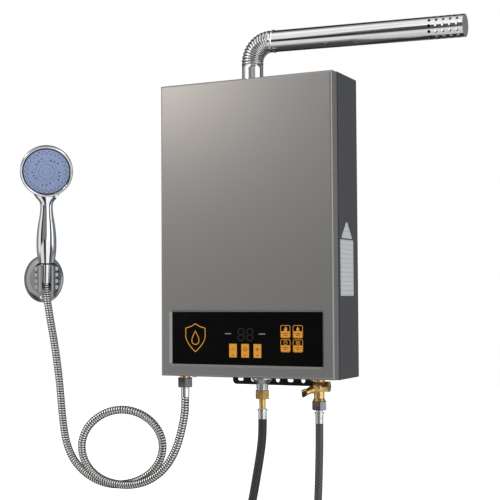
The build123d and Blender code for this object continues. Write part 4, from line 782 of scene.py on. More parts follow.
def tube(line: Points, radius: Points) -> Points:
    """A tube round a line that never runs straight into the wall.

    Each ring lies square to the line; its first axis is the cross product of the
    line's heading with the direction into the wall.

    Args:
        line: centre points.
        radius: radius for each ring and side, of shape rings, sides.

    Returns:
        Grid of points.
    """
    heading = unit(np.gradient(line, axis=0))
    side = unit(np.cross(heading, INWARD))
    up = np.cross(side, heading)
    turn = full_turn(radius.shape[1])
    across = (radius * np.cos(turn))[..., None] * side[:, None]
    return line[:, None] + across + (radius * np.sin(turn))[..., None] * up[:, None]


@dataclass
class Assembly:
    """A sub-assembly: CAD nodes that take finishes, and pieces of its own, in millimetres."""

    wearers: Wearers = ()

    def build(self) -> None:
        """Dress the nodes, then make the pieces."""
        for finish, names in self.wearers:
            for name in names.split():
                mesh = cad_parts[name].data
                mesh.materials.clear()
                mesh.materials.append(finish.material())
                log.info("node %s: %s", name, finish.name)
        self.make()

    def make(self) -> None:
        """Make the pieces; an assembly of CAD nodes alone has none."""


@dataclass
class Cabinet(Assembly):
    """The painted case with its strips, screws and side sticker."""

    wearers: Wearers = (
        (Finishes.cover, "front_cover"),
        (Finishes.case, "rear_case"),
        (Finishes.zinc, "cover_screws strip_rivets"),
        (Finishes.strip, "top_wall_strip bottom_wall_strip"),
    )
    side_x: float = 176.0
    label_middle: Pair = (58.0, -360.5)
    label_size: Pair = (64.0, 101.0)
    label_corner: float = 1.5
    label_rise: float = 0.25
    flag_rows: Rows = ((25.0, 53.0), (23.0, 58.0), (3.0, 81.5), (0.0, 82.5))

    def make(self) -> None:
        """A pale rectangle with a pointed flag above it, on the right side."""
        out, z = self.label_middle
        place = Place((self.side_x, -out, z), INWARD, UP, RIGHT)
        half = np.array(self.flag_rows)
        other = half * (-1.0, 1.0)
        shell = Shell()
        shell.patch(rounded_box(*self.label_size, self.label_corner), self.label_rise, place)
        shell.patch(np.concatenate([other[:1], half, other[-2:0:-1]]), self.label_rise, place)
        shell.piece("side_sticker", Finishes.sticker, Body.HEATER)


@dataclass
class ControlPanel(Assembly):
    """The dark panel with its display, marks, tiles and keys."""

    wearers: Wearers = (
        (Finishes.acrylic, "control_panel"),
        (Finishes.carrier, "panel_carrier"),
        (Finishes.board, "control_board"),
        (Finishes.display, "display_module"),
        (Finishes.amber, "minus_key power_key plus_key"),
    )
    face_out: float = 118.0
    print_rise: float = 0.12
    digit_x: Pair = (-8.2, 9.4)
    digit_z: float = -480.5
    digit_size: Pair = (11.5, 21.5)
    segment_width: float = 2.3
    segment_ends: Pair = (0.62, 0.8)
    mark_x: Pair = (-35.0, 34.0)
    mark_z: float = -479.0
    mark_size: Pair = (13.0, 1.7)
    mark_corner: float = 0.6
    tile_x: Pair = (80.3, 104.6)
    tile_z: Pair = (-474.4, -499.6)
    tile_size: Pair = (18.4, 22.0)
    tile_corner: float = 2.6
    tile_line: float = 1.0
    fill_top: float = 0.04
    sign_up: float = 0.24
    sign_line: float = 0.9
    flame_size: Triple = (7.0, 8.6, 0.5)
    drop_size: Pair = (6.4, 8.2)
    clock_radius: float = 3.4
    clock_steps: int = 28
    clock_hand: float = 2.4
    wave_half: float = 4.2
    wave_height: float = 0.7
    wave_step: float = 2.4
    wave_steps: int = 17
    bar_lengths: Pair = (11.0, 7.5)
    bar_height: float = 1.3
    bar_corner: float = 0.5
    bar_top: float = -3.2
    bar_step: float = -3.4
    bar_rise: float = 0.216
    shield_place: Pair = (-103.0, -487.0)
    shield_size: Pair = (41.0, 52.0)
    shield_line: float = 1.5
    shield_drop: Pair = (17.0, 25.0)
    shield_peak: Pair = (0.45, 0.10)
    shield_side: Pair = (0.16, 0.45)
    shield_power: float = 1.7
    shield_steps: int = 22
    key_out: float = 118.6
    key_z: float = -509.7
    key_pitch: float = 24.7
    key_lift: float = 3.0
    key_line: float = 1.2
    key_bar: float = 3.6
    key_ring: float = 3.4
    key_arc: Pair = (125.0, 415.0)
    key_arc_steps: int = 24
    key_stem: Pair = (0.6, 4.6)
    key_foot: Pair = (2.6, -8.2)
    key_foot_line: float = 1.1

    def make(self) -> None:
        """Print the panel's signs."""
        self._digits()
        self._marks()
        self._amber_signs()
        self._tile_bars()
        self._key_signs()

    def _spot(self, x: float, z: float, out: Optional[float] = None) -> Place:
        """A frame on the panel's face, x to the right and y up."""
        return Place((x, -(self.face_out if out is None else out), z), RIGHT, UP, OUTWARD)

    def _tile_spots(self) -> List[Place]:
        """Frames at the middles of the four tiles, row by row."""
        return [self._spot(x, z) for z in self.tile_z for x in self.tile_x]

    def _digits(self) -> None:
        """Two unlit seven-segment digits."""
        half, tall = (size / 2 for size in self.digit_size)
        short = self.segment_width * self.segment_ends[0]
        level = np.array([(short - half, 0.0), (half - short, 0.0)])
        post = np.array([(half, short * self.segment_ends[1]), (half, tall - short)])
        segments = [level + (0.0, up) for up in (tall, 0.0, -tall)]
        segments += [post * flip for flip in ((1, 1), (-1, 1), (1, -1), (-1, -1))]
        shell = Shell()
        for x in self.digit_x:
            for segment in segments:
                shell.stroke(segment, self.segment_width, self.print_rise, self._spot(x, self.digit_z))
        shell.piece("display_digits", Finishes.segment, Body.HEATER)

    def _marks(self) -> None:
        """Two small dashes beside the display."""
        shell = Shell()
        outline = rounded_box(*self.mark_size, self.mark_corner)
        for x in self.mark_x:
            shell.patch(outline, self.print_rise, self._spot(x, self.mark_z))
        shell.piece("panel_marks", Finishes.grey_print, Body.HEATER)

    def _amber_signs(self) -> None:
        """Tile frames, their filled lower halves, their signs, and the shield with a drop."""
        shell = Shell()
        rise = self.print_rise
        box = rounded_box(*self.tile_size, self.tile_corner)
        height = self.tile_size[1]
        low = np.minimum(box, (np.inf, height * self.fill_top))
        up = (0.0, height * self.sign_up)
        for spot, signs in zip(self._tile_spots(), self._signs()):
            shell.stroke(box, self.tile_line, rise, spot, closed=True)
            shell.patch(low, rise, spot)
            for line, outline in signs:
                if line is Line.FILLED:
                    shell.patch(outline + up, rise, spot)
                else:
                    shell.stroke(outline + up, self.sign_line, rise, spot, line is Line.CLOSED)
        for outline in (self._shield(), drop_outline(*self.shield_drop)):
            shell.stroke(outline, self.shield_line, rise, self._spot(*self.shield_place), closed=True)
        shell.piece("panel_signs", Finishes.amber, Body.HEATER)

    def _signs(self) -> Tuple[List[Tuple[Line, Points]], ...]:
        """The tiles' signs: a leaning drop, a drop, a clock and three waves of two sines each."""
        clock = self.clock_radius * on_circle(full_turn(self.clock_steps))
        hand = np.array([(0.0, 0.0), (0.0, self.clock_hand)])
        across = np.linspace(-self.wave_half, self.wave_half, self.wave_steps)
        wave = np.stack([across, self.wave_height * np.sin(across / self.wave_half * 2.0 * np.pi)], axis=1)
        return (
            [(Line.FILLED, drop_outline(*self.flame_size))],
            [(Line.FILLED, drop_outline(*self.drop_size))],
            [(Line.CLOSED, clock), (Line.OPEN, hand)],
            [(Line.OPEN, wave + (0.0, up)) for up in (-self.wave_step, 0.0, self.wave_step)],
        )

    def _shield(self) -> Points:
        """Shield outline: a low peak and sides that close as a power of the height."""
        half = self.shield_size[0] / 2
        tall = self.shield_size[1]
        start, bend = self.shield_side
        down = np.linspace(start, 1.0, self.shield_steps)
        across = half * (1.0 - np.clip((down - bend) / (1.0 - bend), 0.0, 1.0) ** self.shield_power)
        peak_across, peak_down = self.shield_peak
        peak = np.array([(0.0, tall / 2), (half * peak_across, tall / 2 - tall * peak_down)])
        side = np.concatenate([peak, np.stack([across, tall / 2 - tall * down], axis=1)])
        return np.concatenate([side, side[1:-1][::-1] * (-1, 1)])[::-1]

    def _tile_bars(self) -> None:
        """Two plain dark bars on each tile's filled half."""
        shell = Shell()
        for spot in self._tile_spots():
            for number, length in enumerate(self.bar_lengths):
                outline = rounded_box(length, self.bar_height, self.bar_corner)
                shell.patch(outline + (0.0, self.bar_top + number * self.bar_step), self.bar_rise, spot)
        shell.piece("tile_bars", Finishes.dark_print, Body.HEATER)

    def _key_signs(self) -> None:
        """Minus, power and plus signs, each on its own key."""
        ring = self.key_ring * on_circle(np.linspace(*np.radians(self.key_arc), self.key_arc_steps))
        bar = np.array([(-self.key_bar, 0.0), (self.key_bar, 0.0)])
        stem = np.array([(0.0, up) for up in self.key_stem])
        signs = (
            ("minus_sign", Body.MINUS, -self.key_pitch, (bar,)),
            ("power_sign", Body.POWER, 0.0, (ring, stem)),
            ("plus_sign", Body.PLUS, self.key_pitch, (bar, bar[:, ::-1])),
        )
        half, down = self.key_foot
        foot = np.array([(-half, down), (half, down)])
        for name, body, x, lines in signs:
            spot = self._spot(x, self.key_z, self.key_out)
            shell = Shell()
            for line in lines:
                shell.stroke(line + (0.0, self.key_lift), self.key_line, self.print_rise, spot)
            shell.stroke(foot, self.key_foot_line, self.print_rise, spot)
            shell.piece(name, Finishes.dark_print, body)


@dataclass
class Flue(Assembly):
    """The bright flue: collar, pleated elbow, pipe and end cap."""

    wearers: Wearers = ((Finishes.stainless, "flue_collar flue_elbow flue_pipe flue_end_cap"),)
    foot: Triple = (-9.0, -61.0, -8.2)
    cuff: float = 37.0
    cuff_gap: float = 0.5
    cuff_steps: int = 6
    fold_lead: float = 4.5
    bend_radius: float = 37.0
    bend_angle: float = 91.6
    end_cuff: float = 9.0
    end_gap: float = 0.6
    end_steps: int = 22
    radius: float = 20.0
    bore: float = 17.2
    cuff_bore: float = 18.9
    wall: float = 0.8
    pleats: int = 13
    crest: float = 0.5
    pleat_depth: float = 2.1
    pleat_power: float = 0.7
    pleat_steps: int = 14
    half_pleat: float = 0.5
    bead: float = 1.6
    bead_width: float = 4.0
    sides: int = 96
    sharp: float = 75.0

    def _middle(self, gone: Points) -> Points:
        """Points on the elbow's centre line: up, round an arc and out along the pipe."""
        last = math.radians(self.bend_angle)
        up = np.minimum(gone, self.cuff)
        turn = np.clip((gone - self.cuff) / self.bend_radius, 0.0, last)
        on = np.maximum(gone - self.cuff - last * self.bend_radius, 0.0)
        x = self.bend_radius * (1.0 - np.cos(turn)) + on * math.sin(last)
        z = up + self.bend_radius * np.sin(turn) + on * math.cos(last)
        return np.stack([x, np.zeros_like(x), z], axis=1) + self.foot

    def make(self) -> None:
        """A tube whose bend is folded: each pleat is a power of a half sine along the arc.

        The map counts pleats and places the finish's painted shade in the grooves; half a pleat stands for a
        plain stretch without a groove.
        """
        arc = math.radians(self.bend_angle) * self.bend_radius
        plain = self.cuff - self.fold_lead
        cuff = np.linspace(0.0, plain - self.cuff_gap, self.cuff_steps)
        folds = np.linspace(0.0, self.pleats, self.pleats * self.pleat_steps + 1)
        end = np.linspace(self.end_gap, self.end_cuff, self.end_steps)
        swell = np.abs(np.sin(np.pi * folds)) ** self.pleat_power
        in_bead = np.clip((end - self.end_cuff + self.bead_width) / self.bead_width, 0.0, 1.0)
        folded = plain + folds / self.pleats * (self.fold_lead + arc)
        gone = np.concatenate([cuff, folded, self.cuff + arc + end])
        radius = self.radius + np.concatenate(
            [
                np.zeros(len(cuff)),
                self.crest - self.pleat_depth * (1.0 - swell),
                self.bead * np.sin(np.pi * in_bead),
            ]
        )
        inner = np.minimum(np.where(gone < plain, self.cuff_bore, self.bore), radius - self.wall)
        line = self._middle(gone)
        outside, inside = (tube(line, across_ring(wide, self.sides)) for wide in (radius, inner))
        grid = np.concatenate([outside, inside[::-1], outside[:1]])
        uv = np.zeros((*grid.shape[:2], 2))
        uv[..., 1] = -self.half_pleat
        uv[len(cuff) : len(cuff) + len(folds), :, 1] = folds[:, None]
        uv[len(cuff) + len(folds) : len(gone), :, 1] = self.pleats + self.half_pleat
        shell = Shell()
        shell.grid(grid, uv=uv)
        made = shell.piece("flue_bend", Finishes.folded, Body.FLUE, self.sharp)
        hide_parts("flue_elbow")


@dataclass
class Fittings(Assembly):
    """The water and gas fittings under the floor."""

    wearers: Wearers = (
        (Finishes.brass, "hot_outlet gas_nut gas_tail cold_inlet drain_knob"),
        (Finishes.nickel, "hot_nut cold_nut gas_hose_end cold_hose_end"),
        (Finishes.ferrule, "gas_ferrule cold_ferrule"),
        (Finishes.stainless, "hose_sleeve"),
        (Finishes.cast, "gas_inlet"),
    )


@dataclass
class Hose:
    """A hose along its route: smooth rubber, braided or ribbed, in millimetres."""

    name: str
    node: str
    skin: HoseSkin
    finish: Finish
    slot: str
    radius: float
    route: Rows
    far_end: str
    end_node: Optional[str] = None
    sides: int = 32
    rough_steps: int = 600
    smooth_step: float = 2.5
    rib_pitch: float = 4.95
    rib_depth: float = 1.5
    rib_steps: int = 10
    braid_step: float = 0.7
    strand_depth: float = 0.5
    strand_share: float = 0.8
    sharp: float = 75.0

    def build(self) -> bpy.types.Object:
        route = np.array(self.route)
        rough = spline_line(route, self.rough_steps)
        length = float(np.linalg.norm(np.diff(rough, axis=0), axis=1).sum())
        line, radius, reach = self._section(route, length)
        first, last = (np.repeat(point[None, None], self.sides, axis=1) for point in (line[0], line[-1]))
        grid = np.concatenate([first, tube(line, radius), last])
        uv = np.zeros((*grid.shape[:2], 2))
        uv[..., 0] = np.arange(self.sides) / self.sides
        uv[..., 1] = np.pad(reach, 1, mode="edge")[:, None]
        shell = Shell()
        shell.grid(grid, uv=uv)
        body = None if self.skin is HoseSkin.RIBBED else Body.HEATER
        made = shell.piece(self.name, self.finish, body, self.sharp)
        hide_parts(self.node)
        log.info("hose %s: %.0f mm", self.name, length)
        return made

    def _section(self, route: Points, length: float) -> Tuple[Points, Points, Points]:
        """Centre line, radii and the map's lengthwise value for the hose's skin.

        A rib is the square root of a half sine along the hose, and its map counts ribs. A
        braid is the higher of two crossing sets of squared sines, and its map counts
        millimetres. A smooth hose has one radius.

        Args:
            route: control points of the hose's spline.
            length: the hose's length.

        Returns:
            Centre points, radii for each ring and side, and the map's value for each ring.
        """
        if self.skin is HoseSkin.RIBBED:
            ribs = int(length / self.rib_pitch)
            line = spline_line(route, ribs * self.rib_steps + 1)
            phase = np.linspace(0.0, ribs, len(line))
            swell = np.sqrt(np.abs(np.sin(np.pi * phase)))
            return line, across_ring(self.radius - self.rib_depth * (1.0 - swell), self.sides), phase
        step = self.braid_step if self.skin is HoseSkin.BRAIDED else self.smooth_step
        line = spline_line(route, int(length / step))
        reach = np.linspace(0.0, length, len(line))
        if self.skin is HoseSkin.SMOOTH:
            return line, np.full((len(line), self.sides), self.radius), reach
        around = np.arange(self.sides) / self.sides * BRAID_STRANDS
        along = reach[:, None] / BRAID_LAY * BRAID_STRANDS
        first, second = (np.sin(np.pi * turn) ** 2 for turn in (around + along, around - along))
        over = (1.0 - self.strand_share) * np.cos(np.pi * 2 * around) * np.cos(np.pi * 2 * along)
        height = np.maximum(first * (self.strand_share + over), second * (self.strand_share - over))
        return line, self.radius - self.strand_depth * (1.0 - height), reach


@dataclass
class HandShower(Assembly):
    """The hand shower, its holder on the wall and its ribbed hose."""

    wearers: Wearers = (
        (Finishes.chrome, "handset_body hose_cone"),
        (Finishes.grey_plating, "bracket_holder"),
        (Finishes.satin_chrome, "bracket_plate"),
        (Finishes.seal_and_shade, "handset_ring"),
    )
    head_centre: Triple = (-452.682, -102.116, -156.973)
    head_x: Triple = (0.809017, 0.587785, 0.0)
    head_z: Triple = (0.552337, -0.760227, -0.342020)
    head_sides: int = 128
    sharp: float = 50.0
    # Turned profiles are rows of radius and height.
    face_rows: Rows = (
        (0.0, 1.5), (7.2, 1.4), (7.6, 0.7), (8.3, 0.7), (8.7, 1.4), (21.2, 1.2), (21.6, 0.5), (22.3, 0.5),
        (22.7, 1.2), (30.0, 1.0), (44.0, 0.6), (45.2, 0.3), (45.7, -0.4), (45.7, -5.0), (0.0, -5.0),
    )
    # A black ring that fills the gap between the face and the selector ring, as the painted shadow of that
    # gap.
    shade_ring_rows: Rows = ((45.5, -4.8), (45.5, -0.6), (46.4, -0.1), (47.3, -0.6), (47.3, -4.8), (45.5, -4.8))
    nozzle_rows: Rows = ((0.0, 1.9), (0.55, 1.75), (0.9, 1.35), (1.0, 0.5), (0.0, 0.5))
    nozzle_sides: int = 12
    nozzle_radius: float = 1.15
    # Rows of radius, shift in steps and number.
    nozzle_rings: Rows = ((42.2, 0.0, 26), (38.4, 0.5, 26), (15.8, 0.0, 18))
    port_radius: float = 1.61
    # Rows of radius and shift from the group's middle, in degrees.
    port_rings: Rows = ((25.4, 16.0), (26.6, 0.0), (28.6, -16.0))
    port_groups: Tuple[float, ...] = (54.0, 126.0, 198.0, 270.0, 342.0)
    handle_origin: Triple = (-492.0, -48.0, -337.0)
    handle_y: Triple = (-0.574950, 0.791343, 0.207912)
    handle_z: Triple = (0.122207, -0.168204, 0.978148)
    handle_steps: int = 140
    handle_sides: int = 72
    # Rows of height, half width, half depth and shift to the front.
    handle_rows: Rows = (
        (0.3, 17.0, 17.0, 0.0), (22.0, 19.6, 19.6, 0.0), (44.0, 20.2, 20.2, 0.0), (63.0, 19.0, 19.0, 0.0),
        (80.0, 16.8, 16.8, 0.0), (98.0, 13.8, 13.8, 0.0), (114.0, 12.6, 12.6, 0.0), (123.0, 13.6, 12.3, 0.0),
        (129.0, 17.0, 12.2, 0.0), (134.0, 21.6, 12.1, 0.3), (141.0, 25.6, 12.0, 1.2),
        (150.0, 28.6, 11.8, 2.8), (165.0, 30.0, 11.2, 7.0), (184.0, 29.0, 8.0, 14.0),
    )
    ring_outer: float = 53.0
    ring_inner: float = 49.4
    ring_back: float = -7.0
    ring_lip: float = -1.8
    collar_rows: Rows = ((0.0, -5.2), (49.0, -5.2), (49.0, -7.3), (52.8, -7.3))
    dome_back: float = -7.3
    dome_depth: float = 25.0
    dome_power: float = 0.8
    dome_steps: int = 16
    crown_radius: float = 24.0
    bead_middle: Pair = (50.25, -1.5)
    bead_half: Pair = (2.75, 2.6)
    bead_steps: int = 15
    lever_angle: float = -68.0
    lever_size: Pair = (11.0, 6.5)
    lever_corner: float = 2.5
    plate_foot: Triple = (-533.0, 0.0, -411.0)
    screw_up: Pair = (0.0, 80.0)
    screw_sides: int = 32
    screw_rows: Rows = ((0.0, 12.4), (2.4, 12.0), (3.9, 10.9), (4.7, 9.4), (4.8, 7.0), (0.0, 7.0))
    lift_start: Triple = (-430.0, -44.0, -640.0)
    lift_end: Triple = (-530.0, -44.0, -400.0)

    def make(self) -> None:
        """Make the handset and the plate's screws, and hang the hose."""
        self._body()
        self._ring()
        self._face()
        self._screws()
        made = Hose(
            name="shower_hose_ribbed",
            node="shower_hose",
            skin=HoseSkin.RIBBED,
            finish=Finishes.hose_steel,
            slot="hose_steel",
            radius=8.0,
            route=SHOWER_ROUTE,
            far_end="object",
            sides=26,
        ).build()
        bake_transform(made)

    def _head(self) -> Place:
        """The frame of the spray face, z looking out of it."""
        return Place(self.head_centre, self.head_x, tuple(np.cross(self.head_z, self.head_x)), self.head_z)

    def _body(self) -> None:
        """The handle, a tube of ellipses that flares into the head, and the head's turned dome."""
        rows = np.array(self.handle_rows)
        up = np.linspace(rows[0, 0], rows[-1, 0], self.handle_steps)
        columns = (through(rows[:, 0], column, up)[:, None] for column in rows[:, 1:].T)
        half_width, half_depth, forward = columns
        turn = full_turn(self.handle_sides)
        local = [half_width * np.cos(turn), half_depth * np.sin(turn) - forward, across_ring(up, len(turn))]
        handle = Place(self.handle_origin, self.head_x, self.handle_y, self.handle_z)
        shell = Shell()
        shell.grid(handle.apply(np.stack(local, axis=-1)), capped=True)
        sweep = np.linspace(0.0, np.pi / 2.0, self.dome_steps)
        flare = self.ring_outer - self.crown_radius
        radius = self.crown_radius + flare * np.cos(sweep) ** self.dome_power
        depth = self.dome_back - (self.dome_depth + self.dome_back) * np.sin(sweep)
        profile = [*self.collar_rows, *zip(radius, depth), (0.0, -self.dome_depth)]
        shell.lathe(np.array(profile), self._head(), self.head_sides)
        made = shell.piece("handset_shell", Finishes.chrome, Body.HANDSET, self.sharp)
        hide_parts("handset_body")

    def _ring(self) -> None:
        """The selector ring, half an ellipse in section over a straight skirt, with its lever."""
        place = self._head()
        bead = on_circle(np.linspace(np.pi, 0.0, self.bead_steps)) * self.bead_half + self.bead_middle
        skirt = [(self.ring_outer, self.ring_back), (self.ring_inner, self.ring_back)]
        shell = Shell()
        profile = [*bead, *skirt, (self.ring_inner, self.ring_lip), bead[0]]
        shell.lathe(np.array(profile), place, self.head_sides)
        angle = math.radians(self.lever_angle)
        across = np.array([math.cos(angle), math.sin(angle)])
        out = across @ np.array([place.x_axis, place.y_axis])
        middle = place.apply(np.append(across * self.ring_outer, self.ring_back))
        spot = Place(tuple(middle), tuple(out), tuple(np.cross(place.z_axis, out)), place.z_axis)
        shell.patch(rounded_box(*self.lever_size, self.lever_corner), -self.ring_back, spot)
        made = shell.piece("selector_bezel", Finishes.chrome, Body.SELECTOR, self.sharp)
        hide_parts("selector_ring")

    def _face(self) -> None:
        """A shallow dished face with grooves, a black ring as painted shadow in its edge gap, nozzles on
        rings and dark ports in groups.
        """
        shell = Shell()
        shell.lathe(np.array(self.face_rows), self._head(), self.head_sides)
        made = shell.piece("spray_plate", Finishes.face, Body.HANDSET)
        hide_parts("spray_face")
        # A black ring in the gap at the face's edge: the painted shadow of that gap.
        seal_and_shade = Shell()
        seal_and_shade.lathe(np.array(self.shade_ring_rows), self._head(), self.head_sides)
        seal_and_shade.piece("spray_shade_ring", Finishes.seal_and_shade, Body.HANDSET)
        nozzles = [
            radius * on_circle((np.arange(count) + shift) * 2.0 * np.pi / count)
            for radius, shift, count in self.nozzle_rings
        ]
        self._domes("spray_nozzles", Finishes.nozzle, nozzles, self.nozzle_radius)
        groups = np.array(self.port_groups)
        ports = [radius * on_circle(np.radians(groups + shift)) for radius, shift in self.port_rings]
        self._domes("spray_ports", Finishes.port, ports, self.port_radius)

    def _domes(self, name: str, finish: Finish, rings: List[Points], radius: float) -> None:
        """A piece of small domes on the face, at places given ring by ring."""
        profile = np.array(self.nozzle_rows) * (radius, 1.0)
        head = self._head()
        shell = Shell()
        for x, y in np.concatenate(rings):
            middle = head.apply(np.array([x, y, 0.0]))
            spot = Place(tuple(middle), head.x_axis, head.y_axis, head.z_axis)
            shell.lathe(profile, spot, self.nozzle_sides)
        shell.piece(name, finish, Body.HANDSET)

    def _screws(self) -> None:
        """The two round screw heads of the wall plate, turned about the screws' axes."""
        shell = Shell()
        x, y, z = self.plate_foot
        for up in self.screw_up:
            spot = Place((x, y, z + up), RIGHT, UP, OUTWARD)
            shell.lathe(np.array(self.screw_rows), spot, self.screw_sides)
        shell.piece("plate_screws", Finishes.chrome, Body.HEATER, self.sharp)


@dataclass
class Innards(Assembly):
    """The working parts behind the cover."""

    wearers: Wearers = (
        (Finishes.copper, "exchanger_shell exchanger_coil exchanger_fins gas_riser cold_riser hot_pipe"),
        (Finishes.sheet, "flue_hood exchanger_brackets burner_box burner_bars blower_housing"),
        (Finishes.cast, "gas_manifold gas_valve blower_impeller"),
        (Finishes.motor, "blower_motor"),
        (Finishes.ceramic, "electrodes"),
        (Finishes.white, "flow_sensor flow_rotor"),
        (Finishes.potted, "ignition_module power_supply"),
    )


@dataclass(frozen=True)
class Glow:
    """A bright area of the surroundings, as metal sees it.

    Its turn is in degrees from the camera's side, to the right; its height is the sine
    of the angle above the horizon.
    """

    level: float
    turn: Pair
    height: Pair
    soft_turn: float
    soft_height: float = 0.05

    def seen(self, turn: Value, height: Value) -> Value:
        """The glow's strength in a direction."""
        inside = turn.window(*self.turn, self.soft_turn) * height.window(*self.height, self.soft_height)
        return inside * self.level


@dataclass(frozen=True)
class Lamp:
    """A square soft lamp aimed at a point."""

    name: str
    place: Triple
    target: Triple
    size: float
    power: float
    colour: Colour

    def light(self) -> None:
        """Add the lamp to the scene."""
        data = bpy.data.lights.new(self.name, "AREA")
        data.color = self.colour
        data.size = self.size
        data.energy = self.power
        lamp = bpy.data.objects.new(self.name, data)
        lamp.location = self.place
        lamp.rotation_euler = (Vector(self.target) - Vector(self.place)).to_track_quat("-Z", "Y").to_euler()
        bpy.context.scene.collection.objects.link(lamp)


@dataclass
class Studio:
    """Camera, lamps, floor and surroundings, in metres and degrees."""

    camera_place: Triple = (0.9105, -1.9676, -0.4132)
    camera_turn: Triple = (25.938, -2.412, -0.334)
    focal_pixels: float = 1130.5
    frame_pixels: float = 500.0
    sensor: float = 36.0
    floor_z: float = -1.06
    floor_half: float = 6.0
    floor_grey: Colour = (0.40, 0.40, 0.40)
    floor_glow: float = 0.82
    soft_level: float = 0.90
    white_level: float = 1.0
    gloom: float = 0.03
    cool_turn: Pair = (60.0, 160.0)
    cool_soft: float = 20.0
    cool_tint: Colour = (0.88, 0.94, 1.0)
    lamps: Tuple[Lamp, ...] = (
        Lamp("key_lamp", (-1.45, -2.0, 0.66), (-0.1, -0.1, -0.15), 0.7, 8.0, (1.0, 0.93, 0.87)),
        Lamp("fill_lamp", (2.4, -1.2, 0.6), (0.0, 0.0, -0.3), 1.2, 4.0, WHITE),
    )
    glows: Tuple[Glow, ...] = (
        Glow(0.30, (-128.0, -106.0), (-0.72, -0.27), 3.0),
        Glow(0.78, (-74.0, -23.0), (-0.72, -0.27), 2.5),
        Glow(1.05, (5.0, 71.0), (-0.72, -0.25), 2.5),
        Glow(0.22, (74.0, 99.0), (-0.72, -0.25), 3.0),
        Glow(0.80, (103.0, 174.0), (-0.40, -0.27), 3.0),
        Glow(0.85, (-98.0, -62.0), (-0.27, 0.95), 2.5),
        Glow(0.25, (-135.0, -98.0), (-0.27, 0.95), 5.0),
        Glow(0.85, (-62.0, -48.0), (0.12, 0.95), 2.5),
        Glow(0.25, (-100.0, -61.0), (0.34, 0.93), 8.0, 0.14),
        Glow(1.20, (-48.0, -30.0), (0.36, 0.93), 4.0),
        Glow(1.30, (14.0, 100.0), (-0.25, 0.12), 3.0),
        Glow(0.20, (-40.0, 6.0), (-0.25, 0.30), 8.0),
        Glow(0.22, (-14.0, 41.0), (0.12, 0.93), 4.0),
        Glow(1.80, (47.0, 81.0), (0.12, 0.93), 4.0),
        Glow(0.20, (100.0, 150.0), (-0.25, 0.90), 9.0),
        Glow(0.62, (-110.0, 105.0), (-1.20, -0.72), 8.0),
        Glow(0.80, (-400.0, 400.0), (0.95, 1.20), 4.0),
    )

    def build(self) -> None:
        """Set up the whole studio."""
        self._camera()
        self._world()
        self._floor()
        for lamp in self.lamps:
            lamp.light()
        bpy.context.scene.view_settings.view_transform = "Standard"

    def _axes(self) -> Tuple[Vector, Vector, Vector]:
        """The camera's right, up and back directions, from its yaw, pitch and roll."""
        yaw, pitch, roll = (math.radians(angle) for angle in self.camera_turn)
        level = math.cos(pitch)
        back = Vector((math.sin(yaw) * level, -math.cos(yaw) * level, math.sin(pitch)))
        right = (-back).cross(Vector(UP)).normalized()
        up = right.cross(-back)
        turned_right = right * math.cos(roll) + up * math.sin(roll)
        turned_up = up * math.cos(roll) - right * math.sin(roll)
        return turned_right, turned_up, back

    def _camera(self) -> None:
        """The camera at the photograph's viewing angle."""
        data = bpy.data.cameras.new("photo_camera")
        data.sensor_width = self.sensor
        data.lens = self.focal_pixels / self.frame_pixels * self.sensor
        camera = bpy.data.objects.new("photo_camera", data)
        turn = Matrix(self._axes()).transposed().to_4x4()
        camera.matrix_world = Matrix.Translation(self.camera_place) @ turn
        bpy.context.scene.collection.objects.link(camera)
        bpy.context.scene.camera = camera

    def _world(self) -> None:
        """White to the camera; a soft studio with dark gaps to metal; even light to the rest."""
        world = bpy.data.worlds.new("studio")
        bpy.context.scene.world = world
        world.use_nodes = True
        world.node_tree.nodes.clear()
        graph = Graph(world.node_tree)
        path = graph.node("LightPath").outputs
        around = graph.node("TexCoord").outputs["Generated"]
        right, _, back = self._axes()
        turn = graph.dot(around, right).heading(graph.dot(around, back))
        height = graph.part(around, "Z")
        level = self.gloom + sum(glow.seen(turn, height) for glow in self.glows)
        tint = graph.mix(turn.window(*self.cool_turn, self.cool_soft), WHITE, self.cool_tint)
        studio = graph.node("Background", None, {"Color": tint, "Strength": level})
        even, white = (
            graph.node("Background", None, {"Color": (*WHITE, 1.0), "Strength": strength})
            for strength in (self.soft_level, self.white_level)
        )
        shiny = Value(graph, path["Is Glossy Ray"]) + Value(graph, path["Is Transmission Ray"])
        unseen = graph.between(shiny, even, studio)
        whole = graph.between(path["Is Camera Ray"], unseen, white)
        graph.node("OutputWorld", None, {"Surface": whole.outputs[0]})

    def _floor(self) -> None:
        """A pale floor below the hoses, white to the camera but for a soft shadow."""
        half = self.floor_half
        corners = [(x * half, y * half, self.floor_z) for x, y in ((-1, -1), (1, -1), (1, 1), (-1, 1))]
        mesh = bpy.data.meshes.new("floor")
        mesh.from_pydata(corners, [], [(0, 1, 2, 3)])
        floor = bpy.data.objects.new("floor", mesh)
        bpy.context.scene.collection.objects.link(floor)
        made = bpy.data.materials.new("pale_floor")
        made.use_nodes = True
        made.node_tree.nodes.clear()
        graph = Graph(made.node_tree)
        path = graph.node("LightPath").outputs
        cloth = graph.node("BsdfDiffuse", None, {"Color": (*self.floor_grey, 1.0)})
        lit = Value(graph, path["Is Camera Ray"]) * self.floor_glow
        glow = graph.node("Emission", None, {"Strength": lit})
        both = graph.node("AddShader", None, {0: cloth.outputs[0], 1: glow.outputs[0]})
        mixed = graph.between(path["Is Glossy Ray"], both, graph.node("BsdfTransparent"))
        graph.node("OutputMaterial", None, {"Surface": mixed.outputs[0]})
        mesh.materials.append(made)


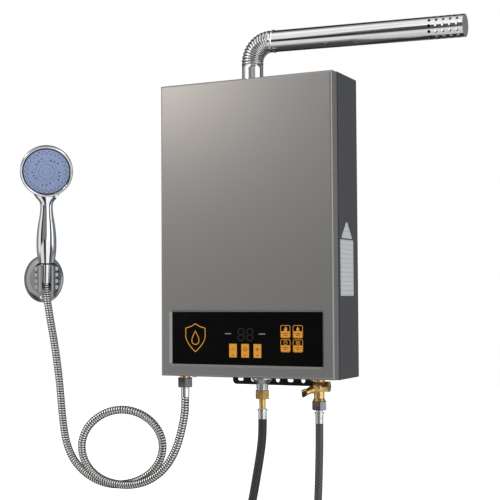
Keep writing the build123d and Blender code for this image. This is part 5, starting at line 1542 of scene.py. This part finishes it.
# Control points of the hoses' centre lines, in millimetres.
SHOWER_ROUTE = (
    (-157, -61, -603), (-157, -61, -623), (-160, -61, -645), (-167, -62, -676), (-179, -63, -710),
    (-199, -64, -740), (-228, -65, -763), (-261, -66, -776), (-300, -67, -780), (-342, -71, -772),
    (-373, -77, -746), (-385, -81, -708), (-372, -80, -669), (-340, -73, -641), (-299, -63, -630),
    (-258, -52, -640), (-228, -43, -667), (-218, -37, -704), (-233, -35, -743), (-267, -37, -771),
    (-310, -40, -784), (-350, -42, -784), (-385, -43, -773), (-414, -44, -754), (-435, -44, -729),
    (-447, -44, -698), (-454, -43, -662), (-459, -42, -622), (-465, -40, -580), (-473, -38, -538),
    (-482, -36, -496), (-492, -35, -454), (-500.4, -36.4, -404.5), (-497.3, -40.8, -379.1),
)
GAS_ROUTE = (
    (7, -61, -638), (7, -61, -666), (3, -61, -698), (-4, -61, -736), (-13, -61, -782),
    (-25, -61, -834), (-33, -61, -886), (-36, -61, -930), (-36, -61, -962),
)
COLD_ROUTE = (
    (121, -61, -641.5), (121, -61, -670), (120, -61, -711), (118, -61, -763),
    (115, -61, -821), (113, -61, -878), (112, -61, -929), (112, -61, -965),
)
SUPPLY_HOSES = (
    Hose(
        name="gas_hose_rubber",
        node="gas_hose",
        skin=HoseSkin.SMOOTH,
        finish=Finishes.rubber,
        slot="hose_rubber",
        radius=8.0,
        route=GAS_ROUTE,
        far_end="fitting",
        end_node="gas_hose_end",
        sides=40,
    ),
    Hose(
        name="cold_hose_braided",
        node="cold_hose",
        skin=HoseSkin.BRAIDED,
        finish=Finishes.braid,
        slot="hose_braid",
        radius=7.3,
        route=COLD_ROUTE,
        far_end="fitting",
        end_node="cold_hose_end",
        sides=80,
    ),
)


def main() -> None:
    """Build every assembly in order, then the studio."""
    logging.basicConfig(level=logging.INFO)
    fixed = (Cabinet(), ControlPanel(), Flue(), Fittings())
    for made in (*fixed, *SUPPLY_HOSES, HandShower(), Innards(), Studio()):
        made.build()


if __name__ == "__main__":
    main()
